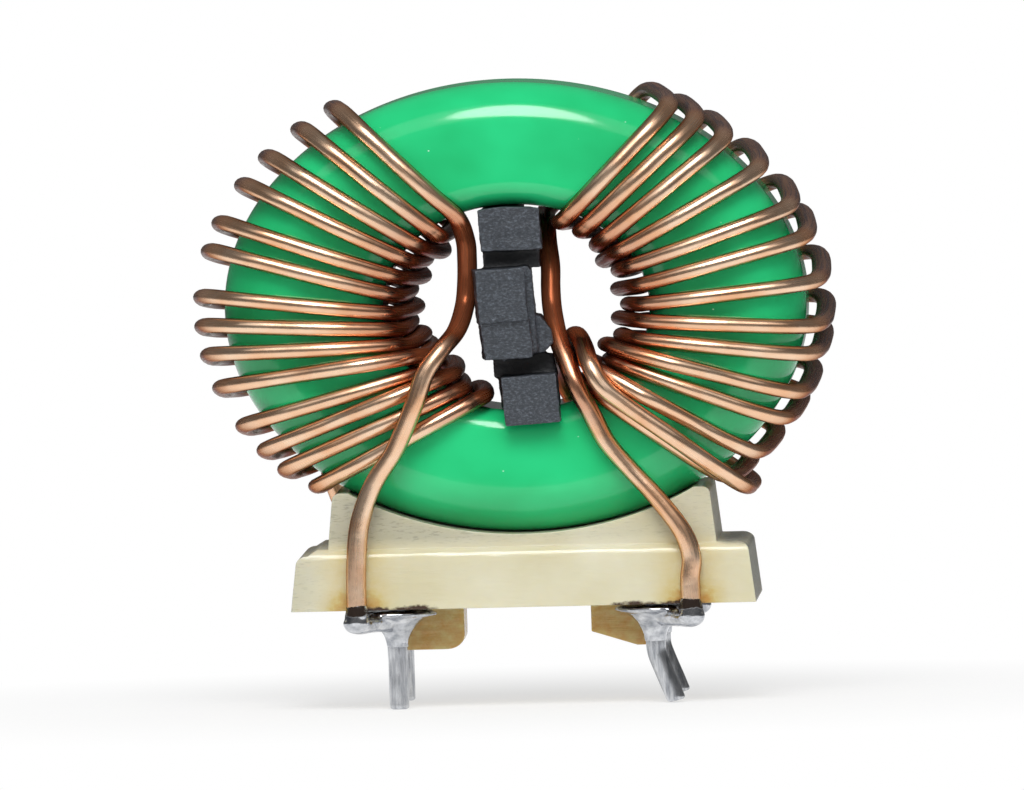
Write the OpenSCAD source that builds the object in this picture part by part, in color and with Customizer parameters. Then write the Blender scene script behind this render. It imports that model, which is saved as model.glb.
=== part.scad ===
// Common-mode toroidal inductor on a four-pin base.
//
// A ferrite ring with a green epoxy coat stands upright in the saddle of a moulded base.
// Two coils of bare enamelled wire are wound on it, one on each side, and a black
// separator stands between them in the hole.  Each wire end is soldered to a pin.
//
// +X is to the right, the front faces -Y and +Z is up.  The origin is the centre of the
// four pins, in the plane of the board that the feet stand on.

/* [Core] */
// Outer diameter of the coated ring
core_od = 29.3; // [27.5:0.1:31]
// Diameter of the hole in the coated ring
core_id = 13.4; // [12.8:0.1:14.4]
// Thickness of the coated ring from face to face
core_t = 12.2; // [10.6:0.1:13]
// Radius of the outer edges
core_outer_round = 3.0; // [1.5:0.1:4]
// Radius of the edges of the hole
core_inner_round = 1.7; // [0.8:0.1:2.4]

/* [Wire] */
// Diameter of the winding wire
wire_d = 1.0; // [0.7:0.05:1.05]
// Gap between the wire and what it lies on
wire_gap = 0.05; // [0.03:0.01:0.2]
// How far the left coil stands off the rim of the ring
left_slack = 0.45; // [0.1:0.05:0.8]
// The same for the left coil's last loop, which turns down to its pin
left_end_slack = 0.15; // [0.1:0.05:0.5]
// How far the right coil stands off the rim of the ring
right_slack = 0.25; // [0.1:0.05:0.8]
// How far the last-wound loop at the foot of the right coil stands off the rim
crossing_slack = 1.3; // [1.2:0.05:1.6]
// Bow of a wire over the flat face of the ring
face_bow = 0.35; // [0.35:0.05:0.6]
// Angle that a left turn gains while it passes over the rim
left_shift = 3; // [1:0.5:4]
// The same for its last loop
left_end_shift = 1; // [0:0.5:3]
// Angle that a right turn gains while it passes over the rim
right_shift = 6.5; // [5:0.5:7]
// Angle that a turn gains while it passes through the hole
hole_shift = 4; // [2:0.5:5]

/* [Base] */
// Width of the flange
flange_w = 23.4; // [20.5:0.1:27]
// Depth of the flange
flange_d = 14.0; // [13.6:0.1:15.5]
// Height of the flange
flange_h = 4.0; // [3.4:0.1:5]
// Radius along the top of the flange's ends
flange_round = 0.5; // [0.2:0.05:0.8]
// Taper of each end of the flange, from its bottom to its top
flange_draft = 0.2; // [0:0.05:0.4]
// Width of the slope at the left end of the flange's top
flange_slope_w = 1.4; // [1.1:0.1:1.8]
// Height of the slope at the left end of the flange's top
flange_slope_h = 0.5; // [0:0.05:0.8]
// Width of the saddle
saddle_w = 19.6; // [15:0.1:19.8]
// Depth of the saddle
saddle_d = 13.0; // [12:0.1:13.4]
// Height of the saddle's shoulders above the flange
saddle_h = 3.6; // [2:0.1:3.7]
// Radius of the saddle's top corners
saddle_round = 0.4; // [0.1:0.05:0.5]
// Taper of each end of the saddle
saddle_draft = 0.2; // [0:0.05:0.3]
// Least thickness of the saddle, under the ring
seat_floor = 0.75; // [0.3:0.05:1.5]
// Gap between the ring and its seat
seat_gap = 0.05; // [0.02:0.01:0.2]

/* [Feet] */
// Height of the two feet
foot_h = 2.86; // [2.4:0.02:3.6]
// Width of each foot
foot_w = 3.3; // [2:0.1:4]
// Length of each foot from front to back
foot_l = 5.2; // [3:0.1:7]
// Distance between the two feet
foot_space = 6.4; // [4:0.1:8]
// Radius of the left foot's inner lower edge
foot_round = 0.9; // [0.3:0.1:1.4]
// Height of the slope on the right foot's inner lower edge
foot_slope_h = 2.3; // [1:0.1:2.6]
// Width of the slope on the right foot's inner lower edge
foot_slope_w = 1.0; // [0.4:0.1:1.6]

/* [Pins] */
// Diameter of each pin's tail
pin_d = 1.0; // [0.7:0.05:1.1]
// Diameter of each pin's root, inside the solder and the flange
pin_root_d = 1.04; // [1:0.02:1.3]
// Pitch of the pins from left to right
pin_pitch_x = 13.0; // [12.6:0.1:14]
// Pitch of the pins from front to back
pin_pitch_y = 10.0; // [9:0.1:10.6]
// Length of a pin below the board plane
pin_tail = 3.7; // [2.5:0.1:6]
// Height at which a straight pin starts to widen towards its root
pin_neck_z = -0.5; // [-0.8:0.1:-0.2]
// Length of a pin inside the flange
pin_grip = 2.75; // [1.5:0.05:3.2]
// Gap round a pin's root in its bore
pin_fit = 0.01; // [0.01:0.005:0.05]
// Lean of the two right pins' tails to the right
bent_lean = 17; // [0:1:25]
// Height at which the right pins are bent
bend_z = -0.4; // [-0.8:0.1:-0.2]
// Swelling of the right pins where they are bent
bend_swell = 1.08; // [1.06:0.01:1.2]

/* [Solder] */
// Radius of the solder cone where it is widest
solder_r = 2.1; // [1.8:0.05:2.4]
// Height of the solder cone's tip above the board
solder_tip_z = 0.3; // [0.1:0.05:0.6]
// Thickness of the solder's rim
solder_rim = 0.45; // [0.2:0.05:0.7]
// Thickness of the solder at the cone's tip
solder_tip_t = 0.05; // [0.03:0.01:0.1]
// Width of the slope round the top of the solder's rim
solder_top_round = 0.3; // [0.1:0.05:0.4]
// Gap between the solder and the flange above it
solder_gap = 0.1; // [0.05:0.01:0.3]
// Radius of the solder lobe that holds the wire's end
lobe_r = 0.72; // [0.6:0.02:0.9]
// Width of the lobe's waist as a share of its end
lobe_waist = 0.9; // [0.8:0.02:0.96]
// Length of wire inside the solder
wire_end = 0.8; // [0.4:0.05:1]
// Distance of each wire's end from its pin, to the side
wire_side = 1.9; // [1.8:0.05:2.2]
// Height at which a wire turns away from the front or back of the flange
wire_turn_z = 3.4; // [3.2:0.1:3.6]
// How much narrower the front right solder is
solder_less = 0.1; // [0:0.05:0.3]

/* [Separator] */
// Thickness of the web that divides the hole
web_t = 2.0; // [1.4:0.1:2.4]
// Depth of the web from front to back
web_d = 10.0; // [8:0.1:11]
// Lean of the separator to the left
lean = 3.4; // [0:0.1:4]
// Gap between the separator and the hole
separator_fit = 0.05; // [0.02:0.01:0.2]
// Distance of the web's middle from the ring's axis, to the left
web_left = 0.3; // [0.1:0.05:0.5]
// Width of the upper head
upper_head_w = 3.2; // [2.4:0.1:3.4]
// Height of the upper head
upper_head_h = 2.9; // [2:0.1:3.3]
// Width of the middle head
middle_head_w = 3.0; // [2.4:0.1:3.1]
// Height of the middle head
middle_head_h = 6.0; // [4:0.1:6.4]
// Length by which the middle head stands out in front of the ring
middle_head_out = 1.4; // [0.8:0.1:1.6]
// Turn of the middle head to the right
middle_head_turn = 5; // [0:1:8]
// Width of the lower head
lower_head_w = 2.9; // [2:0.1:3]
// Height of the lower head
lower_head_h = 3.7; // [3:0.1:4]
// Length by which the lower head hooks over the ring's front face
hook = 1.4; // [0.8:0.1:1.6]
// Thickness of the hook
hook_t = 1.35; // [1:0.05:1.6]
// Gap between the hook and the ring's front face
hook_gap = 0.12; // [0.05:0.01:0.3]
// Width of the rib at the right of the web, behind the middle head
rib_w = 0.5; // [0.3:0.05:0.5]
// Depth of the rib
rib_d = 2.4; // [1:0.1:2.6]
// Height of the rib
rib_h = 3.0; // [2:0.1:3.2]
// Radius of the heads' corners
head_round = 0.35; // [0.1:0.05:0.6]

/* [Hidden] */

// Fineness of round pieces, length by which cuts run past a face, and length by which
// pieces that are one moulding run into each other
fine = 96;
cut = 1;
bite = 0.2;

core_r = core_od / 2;
hole_r = core_id / 2;
wire_r = wire_d / 2;
seat_r = core_r + seat_gap;
flange_top = foot_h + flange_h;
saddle_top = flange_top + saddle_h;
core_z = flange_top + seat_floor + seat_r;

// Centre line of a wire on the ring's face, on another wire, and in front of the base
face_y = core_t / 2 + wire_r + wire_gap;
over_y = face_y + wire_d + wire_gap;
wall_y = flange_d / 2 + wire_r + wire_gap;

// Where the wire's ends go down into the solder
end_x = pin_pitch_x / 2 + wire_side;
solder_top = foot_h - solder_gap;
end_z = solder_top - wire_end;

// ---- Wire -----------------------------------------------------------------------------

// Sides of the wire, and the angles at which it is bent over an outer and an inner edge
wire_sides = 8;
outer_bends = [60, 30, 0];
inner_bends = [90, 45];
outer_bend_r = (core_outer_round + wire_r + wire_gap) / cos(15);
inner_bend_r = (core_inner_round + wire_r + wire_gap) / cos(22.5);

// Radius at which the bend over the outer edge begins, and radius that the wire reaches
bend_start = core_r - core_outer_round;
loop_r = bend_start + outer_bend_r;

// Points of the arch over a face: radius, share of the arch's height, share of the ride
lip_end = hole_r + core_inner_round;
arch = [[lip_end, 0.55, 1], [(lip_end + bend_start) / 2, 1, 0.5], [bend_start, 0.4, 0]];

// Left coil, from the top down: the angle of each turn at the outer edge of the front
// face and at the hole, and how far it rides on its neighbours in the hole
left_outer = [123, 131, 140, 148, 158, 165, 176, 183, 190, 198, 208, 215, 221, 228];
left_inner = [114, 128, 139, 149, 160, 171, 182, 192, 202, 212, 221, 231, 240, 251.5];
left_ride = [0, 0, 0, 0, 0, 0, 0, 0, 0, 0.6, 0, 0.7, 0, 0];

// Right coil, from the foot up.  The first turn comes straight from the rear lead.
right_outer = [-47, -48, -40, -30, -23, -13, -6, 5, 16, 24, 35, 45, 52, 58];
right_inner = [-50, -56, -46, -36.5, -29, -20, -9, 1, 12, 24, 34, 44, 55, 66, 80];
right_ride = [0, 0, 1, 0, 0.7, 0, 0, 0, 0, 0, 0, 0, 0, 0, 0];

function polar(angle, r, y) = [r * cos(angle), y, r * sin(angle)];
function mix(a, b, t) = a + (b - a) * t;

function reversed(list) = [for (i = [len(list) - 1:-1:0]) list[i]];

// A run is a turn's straight way over one face: its angle at the rim, its angle at the
// hole, and how far it rides on its neighbours.  This is its point at a given radius.
function on_run(run, r, y) =
    let (near = hole_r - wire_r - wire_gap - run[2])
    mix(polar(run[0], loop_r, y), polar(run[1], near, y), (loop_r - r) / (loop_r - near));

// Over the edge of the hole, from inside it to the face.  Side -1 is the front.
function over_lip(run, side) =
    [for (a = inner_bends)
        let (bend = inner_bend_r + run[2],
             y = core_t / 2 - core_inner_round + bend * cos(a))
        on_run(run, lip_end - bend * sin(a), side * y)];

// Over the face, in a slight arch
function over_face(run, side) =
    [for (p = arch)
        on_run(run, p[0], side * (face_y + p[1] * face_bow + p[2] * run[2]))];

// Over the edge of the rim, from the face outwards
function over_edge(run, side, slack, lift) =
    [for (a = outer_bends)
        let (y = core_t / 2 - core_outer_round + (outer_bend_r + lift) * sin(a))
        on_run(run, bend_start + (outer_bend_r + slack) * cos(a), side * y)];

// Across the rim, from a run on the front to a run on the back
function over_rim(front, back, slack, lift = 0) = concat(
    over_edge(front, -1, slack, lift),
    [polar((front[0] + back[0]) / 2, loop_r + slack, 0)],
    reversed(over_edge(back, 1, slack, lift)));

// Out of the hole and over the front, and over the back into the hole
function outward(run) = concat(over_lip(run, -1), over_face(run, -1));
function inward(run) = reversed(concat(over_lip(run, 1), over_face(run, 1)));

// Left coil's leads, from the solder up and down again, round the ring's centre
left_front_lead = [
    [-end_x, -wall_y, end_z - core_z],
    [-end_x, -wall_y, wire_turn_z - core_z],
    [-end_x + 0.05, -wall_y, 5.9 - core_z],
    [-8.1, -wall_y, 8.6 - core_z],
    [-7.35, -wall_y - 0.05, 11.1 - core_z],
    [-6.2, -over_y - 0.2, -8.95],
    [-5.2, -over_y - 0.6, -6.15],
    [-4.6, -over_y - 0.5, -4.15],
    [-3.8, -over_y, -2.65],
    [-3.0, -6.3, -1.4],
    [-2.6, -4.7, 0.1],
    [-2.45, -4.3, 1.6],
    [-2.4, -4.5, 3.2],
    [-2.45, -4.9, 4.5]];
left_rear_lead = [
    [-9.95, 6.45, 11.25 - core_z],
    [-9.7, 7.3, 10.1 - core_z],
    [-9.3, wall_y, 8.6 - core_z],
    [-8.8, wall_y, 6.8 - core_z],
    [-end_x, wall_y, 5.0 - core_z],
    [-end_x, wall_y, wire_turn_z - core_z],
    [-end_x, wall_y, end_z - core_z]];

// Right coil's leads.  The rear one comes through the hole and crosses the last turn.
right_rear_lead = [
    [end_x, wall_y, end_z - core_z],
    [end_x, wall_y, wire_turn_z - core_z],
    [end_x - 0.1, wall_y, 5.9 - core_z],
    [7.7, wall_y, 8.2 - core_z],
    [6.2, 7.5, 10.7 - core_z],
    [4.3, 7.3, -9.6],
    [2.9, 7.1, -7.4],
    [2.0, 6.3, -5.6],
    [1.9, 4.4, -4.3],
    [2.3, 1.0, -3.4],
    [2.6, -2.0, -2.4],
    [2.95, -4.3, -1.8],
    [3.35, -6.1, -2.5],
    [3.7, -7.65, -3.7],
    [4.3, -over_y - 0.4, -5.1],
    [5.4, -over_y - 0.4, -6.3]];
right_front_lead = [
    [1.45, 1.8, 5.3],
    [1.55, -0.6, 4.1],
    [1.72, -2.4, 2.6],
    [1.72, -3.2, 1.2],
    [1.77, -3.8, 0.0],
    [1.92, -4.7, -1.15],
    [2.15, -5.6, -2.35],
    [2.5, -6.4, -3.5],
    [2.85, -6.95, -4.7],
    [3.25, -7.1, -5.85],
    [3.7, -7.0, -7.0],
    [4.4, -6.9, -8.8],
    [5.5, -6.95, -10.55],
    [6.8, -7.25, 9.9 - core_z],
    [8.05, -wall_y, 7.7 - core_z],
    [8.5, -wall_y, 6.0 - core_z],
    [end_x, -wall_y, 4.6 - core_z],
    [end_x, -wall_y, wire_turn_z - core_z],
    [end_x, -wall_y, end_z - core_z]];

left_last = len(left_outer) - 1;
right_last = len(right_outer) - 1;

// The runs of each coil over the front, and over the back to the next turn
left_front = [for (i = [0:left_last]) [left_outer[i], left_inner[i], left_ride[i]]];
left_back = [for (i = [0:left_last])
    let (outer = left_outer[i] + (i < left_last ? left_shift : left_end_shift))
    i < left_last ? [outer, left_inner[i + 1] - hole_shift, left_ride[i + 1]] : [outer, outer, 0]];
right_front = [for (i = [0:right_last]) [right_outer[i], right_inner[i], right_ride[i]]];
right_back = [for (i = [0:right_last])
    [right_outer[i] + (i > 0 ? right_shift : 0), right_inner[i + 1] - hole_shift,
     right_ride[i + 1]]];

// Left coil.  It starts from its lead inside the hole and ends behind the rim.
left_start = outward(left_front[0]);
left_end = over_rim(left_front[left_last], left_back[left_last], left_end_slack);
left_route = concat(
    left_front_lead,
    [for (k = [1:len(left_start) - 1]) left_start[k]],
    [for (i = [1:left_last]) each concat(
        over_rim(left_front[i - 1], left_back[i - 1], left_slack),
        inward(left_back[i - 1]),
        outward(left_front[i]))],
    [for (k = [0:len(left_end) - 2]) left_end[k]],
    left_rear_lead);

// Right coil.  Its first loop lies on top of the second at the front.
crossing_lift = wire_d + wire_gap;
right_route = concat(
    right_rear_lead,
    [on_run(right_front[0], bend_start, -face_y - face_bow - crossing_lift)],
    over_rim(right_front[0], right_back[0], crossing_slack, crossing_lift),
    [for (i = [1:right_last]) each concat(
        inward(right_back[i - 1]),
        outward(right_front[i]),
        over_rim(right_front[i], right_back[i], right_slack))],
    inward(right_back[right_last]),
    right_front_lead);

function unit(v) = v / norm(v);
function tangent(route, i) =
    unit(route[min(i + 1, len(route) - 1)] - route[max(i - 1, 0)]);
function square_to(v, axis) = unit(v - (v * axis) * axis);

// A round wire along a route, with a ring of corners at each point
module wire(route) {
    count = len(route);
    start = square_to([0, 1, 0], tangent(route, 0));
    across = [for (i = 0, u = start; i < count;
                   i = i + 1, u = i < count ? square_to(u, tangent(route, i)) : u) u];
    points = [for (i = [0:count - 1])
        let (u = across[i], v = cross(tangent(route, i), u))
        for (k = [0:wire_sides - 1])
            let (a = 360 * k / wire_sides)
            route[i] + wire_r * (cos(a) * u + sin(a) * v)];
    sides = [for (i = [0:count - 2], k = [0:wire_sides - 1])
        let (next = (k + 1) % wire_sides,
             a = i * wire_sides + k,
             b = i * wire_sides + next)
        each [[a, a + wire_sides, b + wire_sides], [a, b + wire_sides, b]]];
    first = [[for (k = [0:wire_sides - 1]) k]];
    last = [[for (k = [wire_sides - 1:-1:0]) (count - 1) * wire_sides + k]];
    polyhedron(points, concat(first, sides, last), convexity = 20);
}

module winding_left() {
    color("peru") translate([0, 0, core_z]) wire(left_route);
}

module winding_right() {
    color("peru") translate([0, 0, core_z]) wire(right_route);
}

// ---- Core -----------------------------------------------------------------------------

// Half section of the ring: a rectangle with two sizes of round corner
module ring_section() {
    half = core_t / 2;
    big = core_outer_round;
    small = core_inner_round;
    difference() {
        translate([hole_r, -half]) square([core_r - hole_r, core_t]);
        for (side = [-1, 1]) {
            translate([core_r - big, side * (half - big)]) difference() {
                translate([0, side > 0 ? 0 : -big - cut]) square([big + cut, big + cut]);
                circle(big);
            }
            translate([hole_r + small, side * (half - small)]) difference() {
                translate([-small - cut, side > 0 ? 0 : -small - cut])
                    square([small + cut, small + cut]);
                circle(small);
            }
        }
    }
}

module coated_core() {
    color("mediumseagreen")
        translate([0, 0, core_z])
            rotate([90, 0, 0])
                rotate_extrude($fn = fine) ring_section($fn = fine);
}

// ---- Base -----------------------------------------------------------------------------

function arc(x, z, r, from, to, steps = 5) =
    [for (i = [0:steps]) let (a = mix(from, to, i / steps)) [x + r * cos(a), z + r * sin(a)]];

// Front outline of a block whose top corners are round and whose ends lean inwards.  Its
// top may slope down to the left corner.
function block_outline(w, bottom, top, r, draft, slope_w = 0, slope_h = 0) =
    let (half = w / 2)
    concat([[-half, bottom], [half, bottom]],
           arc(half - draft - r, top - r, r, 0, 90),
           slope_w > 0 ? [[-half + slope_w, top]] : [],
           arc(-half + draft + r, top - slope_h - r, r, 90, 180));

// Extrudes a front outline from front to back, centred on the origin
module slab(depth) {
    translate([0, depth / 2, 0]) rotate([90, 0, 0]) linear_extrude(depth) children();
}

module left_foot_outline() {
    outer = -foot_space / 2 - foot_w;
    inner = -foot_space / 2;
    polygon(concat([[outer, foot_h + cut], [outer, 0]],
                   arc(inner - foot_round, foot_round, foot_round, -90, 0),
                   [[inner, foot_h + cut]]));
}

module right_foot_outline() {
    outer = foot_space / 2 + foot_w;
    inner = foot_space / 2;
    polygon([[outer, foot_h + cut], [inner, foot_h + cut], [inner, foot_slope_h],
             [inner + foot_slope_w, 0], [outer, 0]]);
}

module pin_places() {
    for (x = [-1, 1], y = [-1, 1])
        translate([x * pin_pitch_x / 2, y * pin_pitch_y / 2, 0]) children();
}

module base() {
    color("wheat") difference() {
        union() {
            slab(flange_d)
                polygon(block_outline(flange_w, foot_h, flange_top, flange_round, flange_draft,
                                      flange_slope_w, flange_slope_h));
            slab(saddle_d)
                polygon(block_outline(saddle_w, flange_top - cut, saddle_top, saddle_round,
                                      saddle_draft));
            slab(foot_l) left_foot_outline();
            slab(foot_l) right_foot_outline();
        }
        translate([0, 0, core_z]) rotate([90, 0, 0])
            cylinder(r = seat_r, h = flange_d + 2 * cut, center = true, $fn = 2 * fine);
        pin_places() translate([0, 0, foot_h - cut])
            cylinder(d = pin_root_d + 2 * pin_fit, h = pin_grip + pin_fit + cut, $fn = 32);
    }
}

// ---- Pins and solder ------------------------------------------------------------------

// A pin at a corner of the base: a root, a neck and a tail, which may lean to the right
module pin(x, y, lean_right = 0) {
    straight = lean_right == 0;
    root_z = solder_tip_z - pin_fit;
    tail_z = straight ? pin_neck_z : bend_z;
    translate([x * pin_pitch_x / 2, y * pin_pitch_y / 2, 0]) {
        translate([0, 0, root_z])
            cylinder(d = pin_root_d, h = foot_h + pin_grip - root_z, $fn = 32);
        translate([0, 0, tail_z]) {
            cylinder(d1 = pin_d, d2 = pin_root_d, h = root_z - tail_z, $fn = 32);
            if (!straight) sphere(d = pin_d * bend_swell, $fn = 32);
            rotate([0, 180 - lean_right, 0]) cylinder(d = pin_d, h = pin_tail + tail_z, $fn = 32);
        }
    }
}

// Half section of the solder cone round a pin: hollow flanks under a thick rim
module solder_section(r) {
    tip_r = pin_root_d / 2 + pin_fit + solder_tip_t;
    rim_z = solder_top - solder_rim;
    steps = 6;
    flank = [for (i = [0:steps])
        let (a = 90 * i / steps)
        [r - (r - tip_r) * sin(a), rim_z - (rim_z - solder_tip_z) * (1 - cos(a))]];
    polygon(concat([[0, solder_tip_z], [0, solder_top], [r - solder_top_round, solder_top]], flank));
}

// Solder at one corner: the cone round the pin and a lobe that reaches the wire's end
module solder(x, y, r) {
    run = [x * (end_x - pin_pitch_x / 2), y * (wall_y - pin_pitch_y / 2)];
    translate([x * pin_pitch_x / 2, y * pin_pitch_y / 2, 0]) difference() {
        union() {
            rotate_extrude($fn = 48) solder_section(r);
            rotate([0, 0, atan2(run[1], run[0])]) translate([0, 0, solder_top - lobe_r]) {
                rotate([0, 90, 0]) cylinder(r = lobe_r * lobe_waist, h = norm(run), $fn = 32);
                translate([norm(run), 0, 0]) sphere(r = lobe_r, $fn = 32);
            }
        }
        translate([0, 0, -cut])
            cylinder(d = pin_root_d + 2 * pin_fit, h = solder_top + 2 * cut, $fn = 32);
        translate([run[0], run[1], end_z - wire_gap])
            cylinder(r = wire_r + wire_gap, h = wire_end + cut, $fn = 32);
    }
}

module pin_front_left() { color("silver") pin(-1, -1); }
module pin_front_right() { color("silver") pin(1, -1, bent_lean); }
module pin_rear_left() { color("silver") pin(-1, 1); }
module pin_rear_right() { color("silver") pin(1, 1, bent_lean); }
module solder_front_left() { color("lightslategray") solder(-1, -1, solder_r); }
module solder_front_right() { color("lightslategray") solder(1, -1, solder_r - solder_less); }
module solder_rear_left() { color("lightslategray") solder(-1, 1, solder_r); }
module solder_rear_right() { color("lightslategray") solder(1, 1, solder_r); }

// ---- Separator ------------------------------------------------------------------------

// Places of the heads and of the rib's foot, from the ring's axis
upper_head_x = 0.15;
middle_head_x = -0.6;
middle_head_z = -0.3;
lower_head_x = 0.3;
rib_z = -3.2;

// Front outline of a head: a rectangle with round corners
function head_outline(w, h, r) =
    concat(arc(w / 2 - r, h / 2 - r, r, 0, 90, 3), arc(-w / 2 + r, h / 2 - r, r, 90, 180, 3),
           arc(-w / 2 + r, -h / 2 + r, r, 180, 270, 3), arc(w / 2 - r, -h / 2 + r, r, 270, 360, 3));

// A head from its front at -Y back to a given depth
module head(x, z, w, h, front, back) {
    translate([x, back, z]) rotate([90, 0, 0]) linear_extrude(back - front)
        polygon(head_outline(w, h, head_round));
}

module separator() {
    reach = hole_r - separator_fit;
    front = -core_t / 2;
    web_front = -web_d / 2;
    lower_z = -reach - hook + lower_head_h / 2;
    color("dimgray") translate([0, 0, core_z]) {
        intersection() {
            rotate([90, 0, 0])
                cylinder(r = reach, h = core_t + 2 * middle_head_out + 2 * cut, center = true,
                         $fn = fine);
            rotate([0, -lean, 0]) union() {
                translate([-web_left - web_t / 2, web_front, -reach])
                    cube([web_t, web_d, 2 * reach]);
                // The upper head runs past the reach, which cuts it round
                head(upper_head_x, reach + head_round - upper_head_h / 2, upper_head_w,
                     upper_head_h + 2 * head_round, front - bite, web_front + bite);
                translate([middle_head_x, web_front, middle_head_z])
                    rotate([0, 0, middle_head_turn])
                        head(0, 0, middle_head_w, middle_head_h,
                             front - middle_head_out - web_front, bite);
                translate([-web_left + web_t / 2 - bite, web_front - bite, rib_z])
                    cube([rib_w + bite, rib_d, rib_h]);
                head(lower_head_x, lower_z, lower_head_w, lower_head_h,
                     front - bite, web_front + 2 * bite);
            }
        }
        rotate([0, -lean, 0])
            head(lower_head_x, lower_z, lower_head_w, lower_head_h,
                 front - hook_gap - hook_t, front - hook_gap);
    }
}

coated_core();
winding_left();
winding_right();
separator();
base();
pin_front_left();
pin_front_right();
pin_rear_left();
pin_rear_right();
solder_front_left();
solder_front_right();
solder_rear_left();
solder_rear_right();
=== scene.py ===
"""Dresses a toroidal inductor: a green ring with two copper coils on a moulded base.

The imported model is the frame.  Every piece here is built in millimetres round the ring's
own sizes and written to its mesh in metres, in the frame's place.
"""

import logging
import math
from dataclasses import dataclass
from enum import Enum
from typing import Callable, Optional, Sequence

import bmesh
import bpy
from bpy.types import Material, Node, NodeTree, Object
from mathutils import Matrix, Vector, noise


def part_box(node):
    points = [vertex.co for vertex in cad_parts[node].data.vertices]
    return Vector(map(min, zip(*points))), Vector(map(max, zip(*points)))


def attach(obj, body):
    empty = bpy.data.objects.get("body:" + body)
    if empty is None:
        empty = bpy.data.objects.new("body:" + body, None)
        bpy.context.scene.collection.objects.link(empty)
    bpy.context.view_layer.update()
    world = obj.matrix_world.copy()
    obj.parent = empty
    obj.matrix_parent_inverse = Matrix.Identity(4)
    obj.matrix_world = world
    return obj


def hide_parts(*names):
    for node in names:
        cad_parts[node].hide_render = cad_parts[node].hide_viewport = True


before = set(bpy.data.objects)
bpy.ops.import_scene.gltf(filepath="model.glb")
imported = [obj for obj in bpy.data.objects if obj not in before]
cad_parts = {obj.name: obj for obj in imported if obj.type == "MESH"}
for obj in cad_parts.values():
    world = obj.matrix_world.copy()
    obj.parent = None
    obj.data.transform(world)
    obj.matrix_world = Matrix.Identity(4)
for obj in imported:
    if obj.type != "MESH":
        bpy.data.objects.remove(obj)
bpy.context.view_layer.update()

log = logging.getLogger("inductor")

MM = 0.001
# Width and height of the picture, in pixels
IMAGE_SIZE = (1024, 790)
# The body that every piece rides on
ROOT = "root"

# Two ends of a range, in the order in which a share rises from 0 to 1
Span = tuple[float, float]
# Points of a flat shape, in millimetres
Outline = list[tuple[float, float]]


class Side(Enum):
    """The face of the ring, by the sign of y."""

    FRONT = -1
    BACK = 1


class Hand(Enum):
    """Left or right, by the sign of x."""

    LEFT = -1
    RIGHT = 1


class Operation(Enum):
    """What a boolean does with its tool, by Blender's name for it."""

    ADD = "UNION"
    CUT = "DIFFERENCE"
    KEEP_COMMON = "INTERSECT"


# ---- Small helpers ------------------------------------------------------------------------


def srgb(hex_value: str) -> tuple[float, float, float, float]:
    """Turns an sRGB hex colour to linear light.

    Args:
        hex_value: a colour such as "#2FC379".

    Returns:
        Linear red, green, blue and an alpha of one.
    """
    parts = [int(hex_value[i : i + 2], 16) / 255 for i in (1, 3, 5)]
    linear = [c / 12.92 if c <= 0.04045 else ((c + 0.055) / 1.055) ** 2.4 for c in parts]
    return (linear[0], linear[1], linear[2], 1.0)


def add_node(
    tree: NodeTree,
    kind: str,
    values: Optional[dict] = None,
    links: Optional[dict] = None,
    **settings: object,
) -> Node:
    """Adds one node to a shader or geometry tree.

    Args:
        tree: the tree that takes the node.
        kind: the node's type name.
        values: default values, by input name or number.
        links: what feeds each input, by its name or number: an output socket, or a node
            whose first output is meant.
        settings: the node's own properties.

    Returns:
        The new node.
    """
    made = tree.nodes.new(kind)
    for name, value in settings.items():
        setattr(made, name, value)
    for key, value in (values or {}).items():
        made.inputs[key].default_value = value
    for key, source in (links or {}).items():
        socket = source.outputs[0] if isinstance(source, Node) else source
        tree.links.new(socket, made.inputs[key])
    return made


def mix(a: float, b: float, t: float) -> float:
    """Returns the value a share t of the way from a to b."""
    return a + (b - a) * t


def polar(angle: float, radius: float, y: float) -> Vector:
    """Returns a point round the ring's axis, from an angle in degrees."""
    turn = math.radians(angle)
    return Vector((radius * math.cos(turn), y, radius * math.sin(turn)))


def vectors(points: Sequence[Sequence[float]]) -> list[Vector]:
    """Returns points as vectors."""
    return [Vector(point) for point in points]


def mesh_object(
    name: str, points: Sequence[Sequence[float]], faces: Sequence[Sequence[int]]
) -> Object:
    """Makes a mesh object at the origin from millimetre points.

    Args:
        name: the object's name.
        points: corner positions in millimetres.
        faces: corner numbers of each face.

    Returns:
        The linked object.
    """
    data = bpy.data.meshes.new(name)
    data.from_pydata([Vector(p) * MM for p in points], [], faces)
    data.update()
    made = bpy.data.objects.new(name, data)
    bpy.context.scene.collection.objects.link(made)
    return made


def settle(piece: Object) -> Object:
    """Turns a piece's live modifiers into a plain mesh.

    Args:
        piece: the object with modifiers.

    Returns:
        The same object, with its final mesh and no modifiers.
    """
    graph = bpy.context.evaluated_depsgraph_get()
    final = bpy.data.meshes.new_from_object(
        piece.evaluated_get(graph), preserve_all_data_layers=True, depsgraph=graph
    )
    piece.modifiers.clear()
    old = piece.data
    piece.data = final
    final.name = piece.name
    bpy.data.meshes.remove(old)
    return piece


def combine(
    body: Object, tool: Object, operation: Operation
) -> Object:
    """Joins a tool to a body, or cuts it out, and removes the tool.

    Args:
        body: the object that is changed.
        tool: the object that is used up.
        operation: what is done with the tool.

    Returns:
        The changed body.
    """
    change = body.modifiers.new("combine", "BOOLEAN")
    change.operation = operation.value
    change.object = tool
    change.solver = "EXACT"
    settle(body)
    data = tool.data
    bpy.data.objects.remove(tool)
    bpy.data.meshes.remove(data)
    return body


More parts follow.
